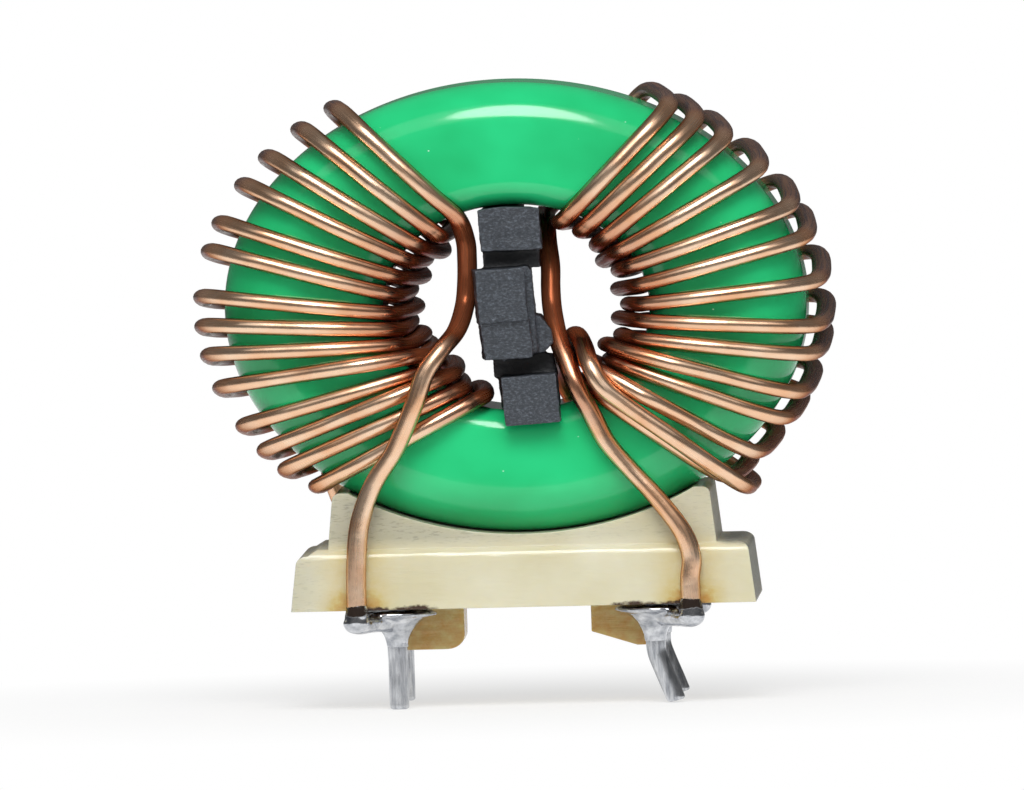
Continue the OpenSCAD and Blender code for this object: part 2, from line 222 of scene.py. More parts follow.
def prism(
    name: str, outline: Sequence[tuple[float, float]], front: float, back: float
) -> Object:
    """Extrudes a front outline from one depth to another.

    Args:
        name: the object's name.
        outline: x and z of each corner in millimetres, counter-clockwise from the front.
        front: y of the near face.
        back: y of the far face.

    Returns:
        A closed prism.
    """
    count = len(outline)
    points = [(x, front, z) for x, z in outline] + [(x, back, z) for x, z in outline]
    faces = [tuple(range(count)), tuple(range(2 * count - 1, count - 1, -1))]
    for i in range(count):
        j = (i + 1) % count
        faces.append((j, i, i + count, j + count))
    return mesh_object(name, points, faces)


def ramp_up(value: float, low: float, high: float) -> float:
    """Returns 0 at low, 1 at high and a smooth rise between; low may be the greater."""
    t = min(1.0, max(0.0, (value - low) / (high - low)))
    return t * t * (3 - 2 * t)


def lathe(name: str, profile: Sequence[tuple[float, float]], around: int) -> Object:
    """Turns a profile about the z axis.

    Args:
        name: the object's name.
        profile: radius and z of each ring in millimetres, from the top to the bottom.
        around: number of corners of a ring.

    Returns:
        A closed round piece.
    """
    points = []
    for r, z in profile:
        turns = [2 * math.pi * i / around for i in range(around)]
        points += [(r * math.cos(a), r * math.sin(a), z) for a in turns]
    faces = [tuple(range(around))]
    for row in range(len(profile) - 1):
        for i in range(around):
            j = (i + 1) % around
            a, b = row * around + i, row * around + j
            faces.append((b, a, a + around, b + around))
    last = (len(profile) - 1) * around
    faces.append(tuple(range(last + around - 1, last - 1, -1)))
    return mesh_object(name, points, faces)


def join(body: Object, *others: Object) -> Object:
    """Puts the meshes of other objects into a body's mesh and removes the others.

    Args:
        body: the object that takes the meshes.
        others: the objects that are used up.

    Returns:
        The body.
    """
    made = bmesh.new()
    made.from_mesh(body.data)
    for other in others:
        made.from_mesh(other.data)
        data = other.data
        bpy.data.objects.remove(other)
        bpy.data.meshes.remove(data)
    made.to_mesh(body.data)
    made.free()
    return body


def arc(x: float, z: float, r: float, start: float, end: float, steps: int = 6) -> Outline:
    """Returns the points of an arc about (x, z), between two angles in degrees."""
    turns = [math.radians(mix(start, end, i / steps)) for i in range(steps + 1)]
    return [(x + r * math.cos(a), z + r * math.sin(a)) for a in turns]


def move_points(piece: Object, change: Callable[[Vector, Vector], Vector]) -> None:
    """Moves every corner of a piece.

    Args:
        piece: the object to change.
        change: gives a corner's new place from its place and its normal.
    """
    corners = piece.data.vertices
    normals = [corner.normal.copy() for corner in corners]
    for corner, normal in zip(corners, normals):
        corner.co = change(corner.co, normal)


def shade_smooth(piece: Object) -> None:
    """Shades every face of a piece smooth."""
    for face in piece.data.polygons:
        face.use_smooth = True


def divide(piece: Object, step: float) -> None:
    """Cuts a piece's large faces by a grid of planes, so that marks can be painted on it.

    Args:
        piece: the object to cut; its shape stays the same.
        step: distance of the planes in millimetres.
    """
    # The planes stand a little off round sizes, so that none lies in a face
    offset = 0.013
    made = bmesh.new()
    made.from_mesh(piece.data)
    corners = [vertex.co / MM for vertex in made.verts]
    for axis in range(3):
        low, high = (pick(corner[axis] for corner in corners) for pick in (min, max))
        across = Vector([1.0 if i == axis else 0.0 for i in range(3)])
        for i in range(1, math.ceil((high - low) / step)):
            place = across * (low + i * step + offset) * MM
            everything = made.verts[:] + made.edges[:] + made.faces[:]
            bmesh.ops.bisect_plane(made, geom=everything, plane_co=place, plane_no=across)
    made.to_mesh(piece.data)
    made.free()


def soften(
    piece: Object, width: float, segments: int, angle: float = 35, grid: float = 0
) -> None:
    """Rounds a piece's sharp edges and keeps its flat faces flat.

    Args:
        piece: the object to round.
        width: width of the rounding in millimetres.
        segments: number of faces across it.
        angle: least angle of an edge that is rounded, in degrees.
        grid: size of the squares that its faces are cut into, in millimetres, or 0.
    """
    bevel = piece.modifiers.new("edges", "BEVEL")
    bevel.width = width * MM
    bevel.segments = segments
    bevel.limit_method = "ANGLE"
    bevel.angle_limit = math.radians(angle)
    settle(piece)
    if grid:
        divide(piece, grid)
    shade_smooth(piece)
    weight = piece.modifiers.new("normals", "WEIGHTED_NORMAL")
    weight.keep_sharp = True
    settle(piece)


def finish_piece(
    piece: Object, material: Material, slot: str, *nodes: str
) -> None:
    """Dresses a piece, puts it on the body and hides the nodes that it stands for.

    Args:
        piece: the finished object.
        material: its finish.
        slot: the record's material slot; not used.
        nodes: the CAD nodes that it replaces.
    """
    piece.data.materials.clear()
    piece.data.materials.append(material)
    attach(piece, ROOT)
    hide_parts(*nodes)
    log.info("%s: %d faces", piece.name, len(piece.data.polygons))


# ---- Sizes --------------------------------------------------------------------------------


@dataclass(frozen=True)
class RingShape:
    """Sizes of the coated ring in millimetres; hole is the radius of its hole."""

    radius: float
    thickness: float
    centre_z: float
    hole: float = 6.7
    outer_round: float = 3.0
    inner_round: float = 1.7

    @classmethod
    def from_frame(cls) -> "RingShape":
        """Reads the ring's outer sizes and height from the frame.

        Returns:
            The ring's sizes.
        """
        low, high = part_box("coated_core")
        return cls(
            radius=(high.x - low.x) / 2 / MM,
            thickness=(high.y - low.y) / MM,
            centre_z=(high.z + low.z) / 2 / MM,
        )


@dataclass(frozen=True)
class BaseShape:
    """Sizes of the moulded base and of what is soldered to it, in millimetres."""

    half_width: float
    half_depth: float
    saddle_top: float
    foot_height: float = 2.86
    flange_height: float = 4.0
    pitch_x: float = 13.0
    pitch_y: float = 10.0
    # How far a wire's end stands outwards of its pin, and how deep it is in the solder
    wire_side: float = 1.9
    wire_end: float = 0.8
    solder_gap: float = 0.1

    @classmethod
    def from_frame(cls) -> "BaseShape":
        """Reads the base's outer sizes from the frame, whose middle is the base's.

        Returns:
            The base's sizes.
        """
        _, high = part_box("base")
        return cls(half_width=high.x / MM, half_depth=high.y / MM, saddle_top=high.z / MM)

    @property
    def flange_top(self) -> float:
        """Height of the flange's top."""
        return self.foot_height + self.flange_height


# ---- Finishes -----------------------------------------------------------------------------


def new_material(name: str) -> tuple[Material, NodeTree]:
    """Makes a material with an empty tree.

    Args:
        name: the material's name.

    Returns:
        The material and its node tree.
    """
    made = bpy.data.materials.new(name)
    made.use_nodes = True
    made.node_tree.nodes.clear()
    return made, made.node_tree


def set_stops(node: Node, stops: Sequence[tuple[float, str]]) -> None:
    """Sets the stops of a colour ramp.

    Args:
        node: the colour ramp.
        stops: the place and the hex colour of each stop, in order.
    """
    points = node.color_ramp.elements
    while len(points) < len(stops):
        points.new(0.5)
    for point, (place, colour) in zip(points, stops):
        point.position = place
        point.color = srgb(colour)


@dataclass(frozen=True)
class DippedEpoxy:
    """Green epoxy that a ferrite ring is dipped in.

    To the eye it is a thick, glossy skin of one bright green, with slow waves in what it
    mirrors and a few nibs of dust, painted pale as glints.  Sizes are in millimetres.
    """

    green: str = "#27CD81"
    shade: str = "#1FB56C"
    nib_glint: str = "#D8FFEC"
    roughness: float = 0.12
    ior: float = 1.55
    ripple_size: float = 2.4
    ripple_height: float = 0.05
    # Dust is 0.03 to 0.05 mm wide; its nibs are drawn 0.11 mm wide so that they show
    nib_radius: float = 0.055
    nib_height: float = 0.03
    nib_spacing: float = 1.1
    nib_field: float = 5.0

    def build(self) -> Material:
        """Builds the coat's finish.

        Returns:
            The material.
        """
        material, tree = new_material("dipped_green_epoxy")
        place = add_node(tree, "ShaderNodeTexCoord").outputs["Object"]
        cloud, fields, ripple = (
            add_node(
                tree, "ShaderNodeTexNoise", values={"Scale": 1 / (size * MM), "Detail": detail},
                links={"Vector": place},
            ).outputs["Fac"]
            for size, detail in (
                (2 * self.ripple_size, 2.0),
                (self.nib_field, 1.0),
                (self.ripple_size, 1.0),
            )
        )
        tint = add_node(tree, "ShaderNodeValToRGB", links={"Fac": cloud})
        set_stops(tint, ((0.35, self.green), (0.75, self.shade)))
        # Each cell has one nib in its middle, and only some fields of the coat have dust
        cells = add_node(
            tree, "ShaderNodeTexVoronoi", values={"Scale": 1 / (self.nib_spacing * MM)},
            links={"Vector": place},
        )
        nib_edge = self.nib_radius / self.nib_spacing
        near, dusty = (
            add_node(
                tree, "ShaderNodeMapRange", values={"From Min": low, "From Max": high},
                links={"Value": value},
            )
            for value, low, high in (
                (cells, nib_edge, 0.4 * nib_edge),
                (fields, 0.47, 0.56),
            )
        )
        nibs = add_node(tree, "ShaderNodeMath", operation="MULTIPLY", links={0: near, 1: dusty})
        # Painted highlight: the nibs are drawn pale, as glints
        colour = add_node(
            tree, "ShaderNodeMix", data_type="RGBA", values={7: srgb(self.nib_glint)},
            links={0: nibs, 6: tint},
        )
        wave = add_node(
            tree, "ShaderNodeBump",
            values={"Strength": 0.25, "Distance": self.ripple_height * MM},
            links={"Height": ripple},
        )
        bump = add_node(
            tree, "ShaderNodeBump", values={"Strength": 0.5, "Distance": self.nib_height * MM},
            links={"Height": nibs, "Normal": wave},
        )
        shader = add_node(
            tree, "ShaderNodeBsdfPrincipled",
            values={"Roughness": self.roughness, "IOR": self.ior},
            links={"Base Color": colour.outputs[2], "Normal": bump},
        )
        add_node(tree, "ShaderNodeOutputMaterial", links={"Surface": shader})
        return material


@dataclass(frozen=True)
class EnamelledCopper:
    """Drawn copper wire under clear enamel.

    To the eye it is peach and bright, with fine lines along it.  Painted shade makes it warm
    brown and then dull and dark in and near the hole, at the rim and on the back, and a
    painted dark reflection makes the loops over the rim grey.  Sizes are in millimetres.
    """

    copper: str = "#FFDDBE"
    warm: str = "#F5BD93"
    warm_shade: str = "#C06A42"
    deep_shade: str = "#74422C"
    rim_shade: str = "#5C5052"
    # What the enamel leaves of a flat reflection, which darkens the wire's outline
    edge: str = "#84523F"
    roughness: tuple[float, float] = (0.21, 0.36)
    # Share of the bare metal that still shows where shade is painted on the wire
    metal_in_shade: float = 0.4
    patch_size: float = 2.2
    # Die lines are a few micrometres wide; drawn 0.12 mm wide so that they show
    die_line: float = 0.12
    die_length: float = 4.0
    die_depth: float = 0.015
    dent_size: float = 0.5
    dent_depth: float = 0.04

    def build(self) -> Material:
        """Builds the wire's finish.

        Returns:
            The material, which reads the wire's skin and along attributes and its two
            attributes of painted shade.
        """
        material, tree = new_material("enamelled_copper")
        place = add_node(tree, "ShaderNodeTexCoord").outputs["Object"]
        patches, dented = (
            add_node(
                tree, "ShaderNodeTexNoise", values={"Scale": 1 / (size * MM), "Detail": detail},
                links={"Vector": place},
            ).outputs["Fac"]
            for size, detail in ((self.patch_size, 3.0), (self.dent_size, 2.0))
        )
        tint = add_node(tree, "ShaderNodeValToRGB", links={"Fac": patches})
        set_stops(tint, ((0.35, self.copper), (0.72, self.warm)))
        skin, along, painted_shade, smoke = (
            add_node(tree, "ShaderNodeAttribute", attribute_name=name)
            for name in ("skin", "along", "painted_shade", "smoke")
        )
        # The drawing die leaves lines along the wire: narrow round it and long down it
        round_wire = add_node(
            tree, "ShaderNodeVectorMath", operation="SCALE",
            values={"Scale": 0.5 / self.die_line}, links={0: skin.outputs["Vector"]},
        )
        down_wire = add_node(
            tree, "ShaderNodeMath", operation="MULTIPLY",
            values={1: 1 / (self.die_length * MM)}, links={0: along.outputs["Fac"]},
        )
        lengthwise = add_node(tree, "ShaderNodeCombineXYZ", links={"Z": down_wire})
        drawn = add_node(
            tree, "ShaderNodeVectorMath", operation="ADD", links={0: round_wire, 1: lengthwise}
        )
        lines = add_node(
            tree, "ShaderNodeTexNoise", values={"Scale": 1.0, "Detail": 3.0, "Roughness": 0.6},
            links={"Vector": drawn},
        ).outputs["Fac"]
        # The lines make the gloss uneven, and break up the painted shade along them
        uneven, gloss = (
            add_node(
                tree, "ShaderNodeMapRange",
                values={"From Min": 0.3, "From Max": 0.7, "To Min": low, "To Max": high},
                links={"Value": lines},
            )
            for low, high in ((1.25, 0.7), self.roughness)
        )
        dark, grey = (
            add_node(
                tree, "ShaderNodeMath", operation="MULTIPLY", use_clamp=True,
                links={0: mark.outputs["Fac"], 1: uneven},
            )
            for mark in (painted_shade, smoke)
        )
        # Painted shade: warm brown, then dark, in and near the hole, at the rim and on the
        # back; and grey on the rim loops, a painted dark reflection
        warm_shade, deep_shade = (
            add_node(
                tree, "ShaderNodeMapRange", values={"From Min": low, "From Max": high},
                links={"Value": dark},
            )
            for low, high in ((0.0, 0.6), (0.45, 1.1))
        )
        colour = tint
        for layer, share in ((self.warm_shade, warm_shade), (self.deep_shade, deep_shade), (self.rim_shade, grey)):
            colour = add_node(
                tree, "ShaderNodeMix", data_type="RGBA", values={7: srgb(layer)},
                links={0: share, 6: colour},
            ).outputs[2]
        # Where shade is painted dark or grey, the wire is drawn as less of a metal, so that it
        # stays dull
        in_shade = add_node(
            tree, "ShaderNodeMath", operation="MAXIMUM", links={0: grey, 1: deep_shade}
        )
        bare = add_node(
            tree, "ShaderNodeMapRange", values={"To Min": 1.0, "To Max": self.metal_in_shade},
            links={"Value": in_shade},
        )
        dents = add_node(
            tree, "ShaderNodeBump", values={"Strength": 0.25, "Distance": self.dent_depth * MM},
            links={"Height": dented},
        )
        bump = add_node(
            tree, "ShaderNodeBump", values={"Strength": 0.1, "Distance": self.die_depth * MM},
            links={"Height": lines, "Normal": dents},
        )
        shader = add_node(
            tree, "ShaderNodeBsdfPrincipled", values={"Specular Tint": srgb(self.edge)},
            links={"Base Color": colour, "Metallic": bare, "Roughness": gloss, "Normal": bump},
        )
        add_node(tree, "ShaderNodeOutputMaterial", links={"Surface": shader})
        return material


@dataclass(frozen=True)
class IvoryNylon:
    """Natural nylon, moulded.

    To the eye it is milky ivory and a little see-through, with drag lines along it and
    faces that are not quite flat, and amber where flux has run.  It is dark along the
    flange's lower edge by the pins, from burnt flux and painted shade under the flange, greyer
    with dark scratches on the saddle and towards the left, and painted grey as shade on the
    right end's top and end faces and on the left end face.  Sizes are in millimetres.
    """

    ivory: str = "#D8D4BC"
    warm: str = "#CCC5A4"
    flux: str = "#C6B26E"
    amber: str = "#B98236"
    burnt_and_shade: str = "#3B2413"
    grey_and_shade: str = "#83857D"
    speck: str = "#4E5149"
    roughness: float = 0.22
    ior: float = 1.53
    see_through: float = 0.35
    light_reach: tuple[float, float, float] = (1.4, 1.1, 0.6)
    flow_size: float = 4.0
    blot_size: float = 0.7
    # Scratches and drag lines are some 0.03 mm wide; drawn coarser so that they show
    scratch_size: float = 0.17
    drag_size: float = 0.35
    drag_depth: float = 0.06
    # Thick mouldings sink in shallow hollows as they cool
    sink_size: float = 0.9
    sink_depth: float = 0.13

    def build(self) -> Material:
        """Builds the base's finish.

        Returns:
            The material, which reads the base's flux, char and soot attributes.
        """
        material, tree = new_material("moulded_ivory_nylon")
        place = add_node(tree, "ShaderNodeTexCoord").outputs["Object"]
        flux, char, grey_and_shade = (
            add_node(tree, "ShaderNodeAttribute", attribute_name=name).outputs["Fac"]
            for name in ("flux", "char", "grey_and_shade")
        )
        # Scratches run at a slant, and drag lines and hollows run along the base
        slant, drag, sunk = (
            add_node(
                tree, "ShaderNodeMapping", values={"Rotation": turn, "Scale": stretch},
                links={"Vector": place},
            )
            for turn, stretch in (
                ((0.0, 0.8, 0.0), (0.4, 1.0, 1.5)),
                ((0.0, 0.0, 0.0), (0.12, 1.0, 1.0)),
                ((0.0, 0.0, 0.0), (0.4, 1.0, 1.0)),
            )
        )
        cloud, blots, scratches, lines, hollows = (
            add_node(
                tree, "ShaderNodeTexNoise",
                values={"Scale": 1 / (size * MM), "Detail": detail, "Roughness": rough},
                links={"Vector": way},
            ).outputs["Fac"]
            for way, size, detail, rough in (
                (place, self.flow_size, 3.0, 0.5),
                (place, self.blot_size, 4.0, 0.65),
                (slant, self.scratch_size, 2.0, 0.6),
                (drag, self.drag_size, 4.0, 0.6),
                (sunk, self.sink_size, 1.5, 0.5),
            )
        )
        tint = add_node(tree, "ShaderNodeValToRGB", links={"Fac": cloud})
        set_stops(tint, ((0.3, self.ivory), (0.75, self.warm)))
        uneven, scratched = (
            add_node(
                tree, "ShaderNodeMapRange",
                values={"From Min": low, "From Max": high, "To Min": least, "To Max": most},
                links={"Value": value},
            )
            for value, low, high, least, most in (
                (blots, 0.25, 0.75, 0.55, 1.25),
                (scratches, 0.55, 0.7, 0.0, 0.75),
            )
        )
        stain, marked = (
            add_node(
                tree, "ShaderNodeMath", operation="MULTIPLY", use_clamp=True,
                links={0: mark, 1: pattern},
            )
            for mark, pattern in ((flux, uneven), (grey_and_shade, scratched))
        )
        # Burnt flux and painted shade under the flange lie in broken spots, so their mark is
        # cut by the blots
        spots = add_node(tree, "ShaderNodeMath", operation="ADD", links={0: char, 1: blots})
        yellowed, amber, burnt_and_shade = (
            add_node(
                tree, "ShaderNodeMapRange",
                values={"From Min": low, "From Max": high, "To Max": most},
                links={"Value": value},
            )
            for value, low, high, most in (
                (stain, 0.0, 0.6, 0.9),
                (stain, 0.5, 1.0, 0.9),
                (spots, 1.0, 1.2, 1.0),
            )
        )
        colour = tint
        # The grey layer is partly painted shade, on the end faces and the right end's top
        for layer, share in (
            (self.flux, yellowed),
            (self.amber, amber),
            (self.grey_and_shade, grey_and_shade),
            (self.speck, marked),
            (self.burnt_and_shade, burnt_and_shade),
        ):
            colour = add_node(
                tree, "ShaderNodeMix", data_type="RGBA", values={7: srgb(layer)},
                links={0: share, 6: colour},
            ).outputs[2]
        wave = add_node(
            tree, "ShaderNodeBump", values={"Strength": 0.6, "Distance": self.sink_depth * MM},
            links={"Height": hollows},
        )
        bump = add_node(
            tree, "ShaderNodeBump", values={"Strength": 0.6, "Distance": self.drag_depth * MM},
            links={"Height": lines, "Normal": wave},
        )
        shader = add_node(
            tree, "ShaderNodeBsdfPrincipled",
            values={
                "Roughness": self.roughness,
                "IOR": self.ior,
                "Subsurface Weight": self.see_through,
                "Subsurface Radius": self.light_reach,
                "Subsurface Scale": MM,
            },
            links={"Base Color": colour, "Normal": bump},
        )
        add_node(tree, "ShaderNodeOutputMaterial", links={"Surface": shader})
        return material


@dataclass(frozen=True)
class BlackMoulding:
    """Black glass-filled nylon, moulded.

    To the eye it is satin black with a fine grain and scuffed grey on the heads that stand
    out in front.  Shade is painted black on the parts behind the heads, and highlights are
    painted lighter along its convex edges.  Sizes are in millimetres.
    """

    black: str = "#1B1D20"
    dark: str = "#2A2D32"
    grey: str = "#373C43"
    scuff_and_highlight: str = "#656C76"
    roughness: float = 0.42
    # Glass fibres are 0.01 mm thick; the grain is drawn 0.12 mm wide so that it shows
    grain: float = 0.12
    grain_depth: float = 0.06
    # Between these depths the heads begin to stand out; behind them, shade is painted black
    recess_shade_from: float = -5.7
    recess_shade_to: float = -6.2

    def build(self) -> Material:
        """Builds the separator's finish.

        Returns:
            The material.
        """
        material, tree = new_material("black_glass_filled_nylon")
        place = add_node(tree, "ShaderNodeTexCoord").outputs["Object"]
        stretch = add_node(
            tree, "ShaderNodeMapping",
            values={"Scale": (0.7, 1.0, 1.0), "Rotation": (0.0, 0.25, 0.0)},
            links={"Vector": place},
        )
        cloud = add_node(
            tree, "ShaderNodeTexNoise",
            values={"Scale": 1 / (self.grain * MM), "Detail": 4.0, "Roughness": 0.7},
            links={"Vector": stretch},
        )
        tint = add_node(tree, "ShaderNodeValToRGB", links={"Fac": cloud})
        set_stops(tint, ((0.3, self.dark), (0.5, self.grey), (0.75, self.scuff_and_highlight)))
        axes = add_node(tree, "ShaderNodeSeparateXYZ", links={"Vector": place})
        out_of_recess = add_node(
            tree, "ShaderNodeMapRange",
            values={"From Min": self.recess_shade_from * MM, "From Max": self.recess_shade_to * MM},
            links={"Value": axes.outputs["Y"]},
        )
        # Painted shade: what lies back behind the heads is drawn black
        colour = add_node(
            tree, "ShaderNodeMix", data_type="RGBA", values={6: srgb(self.black)},
            links={0: out_of_recess, 7: tint},
        )
        # Painted highlight: convex edges are drawn lighter
        form = add_node(tree, "ShaderNodeNewGeometry")
        edge = add_node(
            tree, "ShaderNodeMapRange",
            values={"From Min": 0.53, "From Max": 0.62, "To Max": 0.7},
            links={"Value": form.outputs["Pointiness"]},
        )
        wear_and_edge_highlight = add_node(
            tree, "ShaderNodeMix", data_type="RGBA", values={7: srgb(self.scuff_and_highlight)},
            links={0: edge, 6: colour.outputs[2]},
        )
        bump = add_node(
            tree, "ShaderNodeBump", values={"Strength": 0.8, "Distance": self.grain_depth * MM},
            links={"Height": cloud},
        )
        shader = add_node(
            tree, "ShaderNodeBsdfPrincipled", values={"Roughness": self.roughness},
            links={"Base Color": wear_and_edge_highlight.outputs[2], "Normal": bump},
        )
        add_node(tree, "ShaderNodeOutputMaterial", links={"Surface": shader})
        return material


@dataclass(frozen=True)
class DullTin:
    """Tin on a pin, or solder.

    To the eye it is a soft grey metal with bright scrapes, black and rough where flux has
    burnt on it and where shade under the flange is painted on it.  Sizes are in millimetres.
    """

    name: str
    bright: str = "#DEE0E4"
    dull: str = "#90949B"
    burnt_and_shade: str = "#2A211C"
    # Scrapes are some 0.05 mm wide; drawn 0.25 mm wide, and long down a pin, so that they show
    grain: tuple[float, float, float] = (0.25, 0.25, 2.2)
    grain_depth: float = 0.04
    blot_size: float = 0.7
    roughness: float = 0.26

    def build(self) -> Material:
        """Builds the metal's finish.

        Returns:
            The material, which reads the solder's attribute of burnt flux and painted shade.
        """
        material, tree = new_material(self.name)
        place = add_node(tree, "ShaderNodeTexCoord").outputs["Object"]
        stretch = add_node(
            tree, "ShaderNodeMapping",
            values={"Scale": tuple(1 / (size * MM) for size in self.grain)},
            links={"Vector": place},
        )
        cloud = add_node(
            tree, "ShaderNodeTexNoise", values={"Scale": 1.0, "Detail": 4.0, "Roughness": 0.6},
            links={"Vector": stretch},
        )
        tint = add_node(tree, "ShaderNodeValToRGB", links={"Fac": cloud})
        set_stops(tint, ((0.35, self.bright), (0.7, self.dull)))
        # Burnt flux and painted shade under the flange lie in broken spots, so their mark is
        # cut by a noise
        char = add_node(tree, "ShaderNodeAttribute", attribute_name="char")
        blots = add_node(
            tree, "ShaderNodeTexNoise",
            values={"Scale": 1 / (self.blot_size * MM), "Detail": 3.0}, links={"Vector": place},
        )
        both = add_node(
            tree, "ShaderNodeMath", operation="ADD", links={0: char.outputs["Fac"], 1: blots}
        )
        burnt_and_shade = add_node(
            tree, "ShaderNodeMapRange", values={"From Min": 0.92, "From Max": 1.05},
            links={"Value": both},
        )
        colour = add_node(
            tree, "ShaderNodeMix", data_type="RGBA", values={7: srgb(self.burnt_and_shade)},
            links={0: burnt_and_shade, 6: tint},
        )
        bare = add_node(
            tree, "ShaderNodeMapRange", values={"To Min": 1.0, "To Max": 0.0},
            links={"Value": burnt_and_shade},
        )
        bump = add_node(
            tree, "ShaderNodeBump", values={"Strength": 0.4, "Distance": self.grain_depth * MM},
            links={"Height": cloud},
        )
        shader = add_node(
            tree, "ShaderNodeBsdfPrincipled", values={"Roughness": self.roughness},
            links={"Base Color": colour.outputs[2], "Metallic": bare, "Normal": bump},
        )
        add_node(tree, "ShaderNodeOutputMaterial", links={"Surface": shader})
        return material


# ---- Ring ---------------------------------------------------------------------------------


@dataclass
class CoatedRing:
    """The ferrite ring with its epoxy coat; sizes are in millimetres."""

    shape: RingShape
    around: int = 288
    bend_steps: int = 12
    # The longest straight stretch of the section
    stretch: float = 0.8
    # Where the coat is thin, it lies this much lower, in waves of this size
    swell: float = 0.03
    swell_size: float = 6.0

    def section(self) -> Outline:
        """Draws the ring's half section, all the way round.

        Returns:
            The radius and y of each point.
        """
        s = self.shape
        half = s.thickness / 2
        big, small = s.outer_round, s.inner_round
        corners = (
            (s.radius - big, -half + big, big, 270),
            (s.radius - big, half - big, big, 0),
            (s.hole + small, half - small, small, 90),
            (s.hole + small, -half + small, small, 180),
        )
        points: Outline = []
        for r, y, bend, start in corners:
            points += arc(r, y, bend, start, start + 90, self.bend_steps)
        return self.divided(points)

    def divided(self, points: Outline) -> Outline:
        """Splits the long straight stretches of a closed outline.

        Args:
            points: the outline.

        Returns:
            The same outline with more points.
        """
        result = []
        for i, (x, z) in enumerate(points):
            nx, nz = points[(i + 1) % len(points)]
            parts = max(1, math.ceil(math.hypot(nx - x, nz - z) / self.stretch))
            result += [(mix(x, nx, k / parts), mix(z, nz, k / parts)) for k in range(parts)]
        return result

    def build(self) -> Object:
        """Builds and dresses the ring.

        Returns:
            The ring.
        """
        outline = self.section()
        count = len(outline)
        points, faces = [], []
        for i in range(self.around):
            angle = 360 * i / self.around
            points += [polar(angle, r, y) for r, y in outline]
            for k in range(count):
                a, b = i * count + k, i * count + (k + 1) % count
                c, d = [(p + count) % (count * self.around) for p in (b, a)]
                faces.append((a, b, c, d))
        ring = mesh_object("green_ring", points, faces)
        self.uneven(ring)
        shade_smooth(ring)
        finish_piece(ring, DippedEpoxy().build(), "green_coat", "coated_core")
        return ring

    def uneven(self, ring: Object) -> None:
        """Gives the dipped coat its slight waves and moves it to its height.

        Args:
            ring: the ring, still about the origin.
        """
        up = Vector((0, 0, self.shape.centre_z * MM))

        def sink(point: Vector, normal: Vector) -> Vector:
            """Lowers a point along its normal where the coat is thin."""
            wave = noise.noise(point / (self.swell_size * MM))
            return point + normal * min(0.0, wave) * self.swell * MM + up

        move_points(ring, sink)


# ---- Coils --------------------------------------------------------------------------------


@dataclass(frozen=True)
class Wire:
    """The winding wire and how it clears what it lies on, in millimetres."""

    diameter: float = 1.0
    gap: float = 0.05
    sides: int = 18
    ring_step: float = 0.2

    @property
    def radius(self) -> float:
        """Half of the diameter."""
        return self.diameter / 2


@dataclass(frozen=True)
class Run:
    """A turn's straight way over one face, in degrees at the rim and at the hole.

    ride is how far it lies on top of other turns at the hole, in millimetres.
    """

    outer: float
    inner: float
    ride: float = 0.0


@dataclass(frozen=True)
class Turns:
    """How a coil is laid: one entry for each turn, with angles in degrees.

    The shifts are the angles from a turn's front run to its back run, and slack and bow are
    how far, in millimetres, it stands off the rim and the faces.
    """

    outer: tuple[float, ...]
    inner: tuple[float, ...]
    ride: tuple[float, ...]
    rim_shift: float
    slack: float
    hole_shift: float = 4.0
    bow: float = 0.35


@dataclass(frozen=True)
class PaintedShade:
    """Where shade is painted on a coil's wire, dark or grey, in millimetres and shares.

    Depths run along y and radii from the ring's axis.
    """

    # Painted shade: how dark, and between which depths and radii, in the hole, at its lip, on
    # the face near it, at the rim and on the back
    hole_depth: Span = (-8.3, -5.9)
    hole_radius: Span = (7.4, 5.4)
    lip: float = 0.7
    lip_depth: Span = (-7.0, -5.2)
    lip_radius: Span = (8.2, 6.4)
    face: float = 0.34
    face_depth: Span = (-8.2, -7.0)
    face_radius: Span = (9.6, 6.8)
    rim: float = 0.24
    rim_radius: Span = (13.2, 15.4)
    rim_front: Span = (-6.4, -3.4)
    rim_back: Span = (8.0, 3.0)
    rear: float = 0.12
    rear_depth: Span = (-3.0, 3.0)
    # Painted dark reflection: how grey the loops over the rim are, and where
    rim_dark: float = 0.85
    rim_dark_radius: Span = (13.4, 15.6)
    rim_dark_height: Span = (-9.0, -4.0)
    rim_dark_middle: float = 0.7
    rim_dark_reach: Span = (6.6, 3.9)

    def deep_shade(self, point: Vector) -> float:
        """Gives how much dark shade is painted: in the hole, at its lip, on the face near it,
        at the rim and on the back.

        Args:
            point: a point of the wire's centre line, from the ring's centre.

        Returns:
            A share from 0 to 1.
        """
        r, y = math.hypot(point.x, point.z), point.y
        inside = ramp_up(y, *self.hole_depth) * ramp_up(r, *self.hole_radius)
        lip = self.lip * ramp_up(y, *self.lip_depth) * ramp_up(r, *self.lip_radius)
        face = self.face * ramp_up(r, *self.face_radius) * ramp_up(y, *self.face_depth)
        rim = self.rim * ramp_up(r, *self.rim_radius) * ramp_up(y, *self.rim_front)
        rim *= ramp_up(y, *self.rim_back)
        return max(inside, lip, face, rim, self.rear * ramp_up(y, *self.rear_depth))

    def rim_shade(self, point: Vector) -> float:
        """Gives how much grey is painted on the loops over the rim as a dark reflection, most
        in their upper part.

        Args:
            point: a point of the wire's centre line, from the ring's centre.

        Returns:
            A share from 0 to 1.
        """
        r = math.hypot(point.x, point.z)
        upper = 0.5 + 0.5 * ramp_up(point.z, *self.rim_dark_height)
        across = ramp_up(abs(point.y - self.rim_dark_middle), *self.rim_dark_reach)
        return self.rim_dark * ramp_up(r, *self.rim_dark_radius) * upper * across


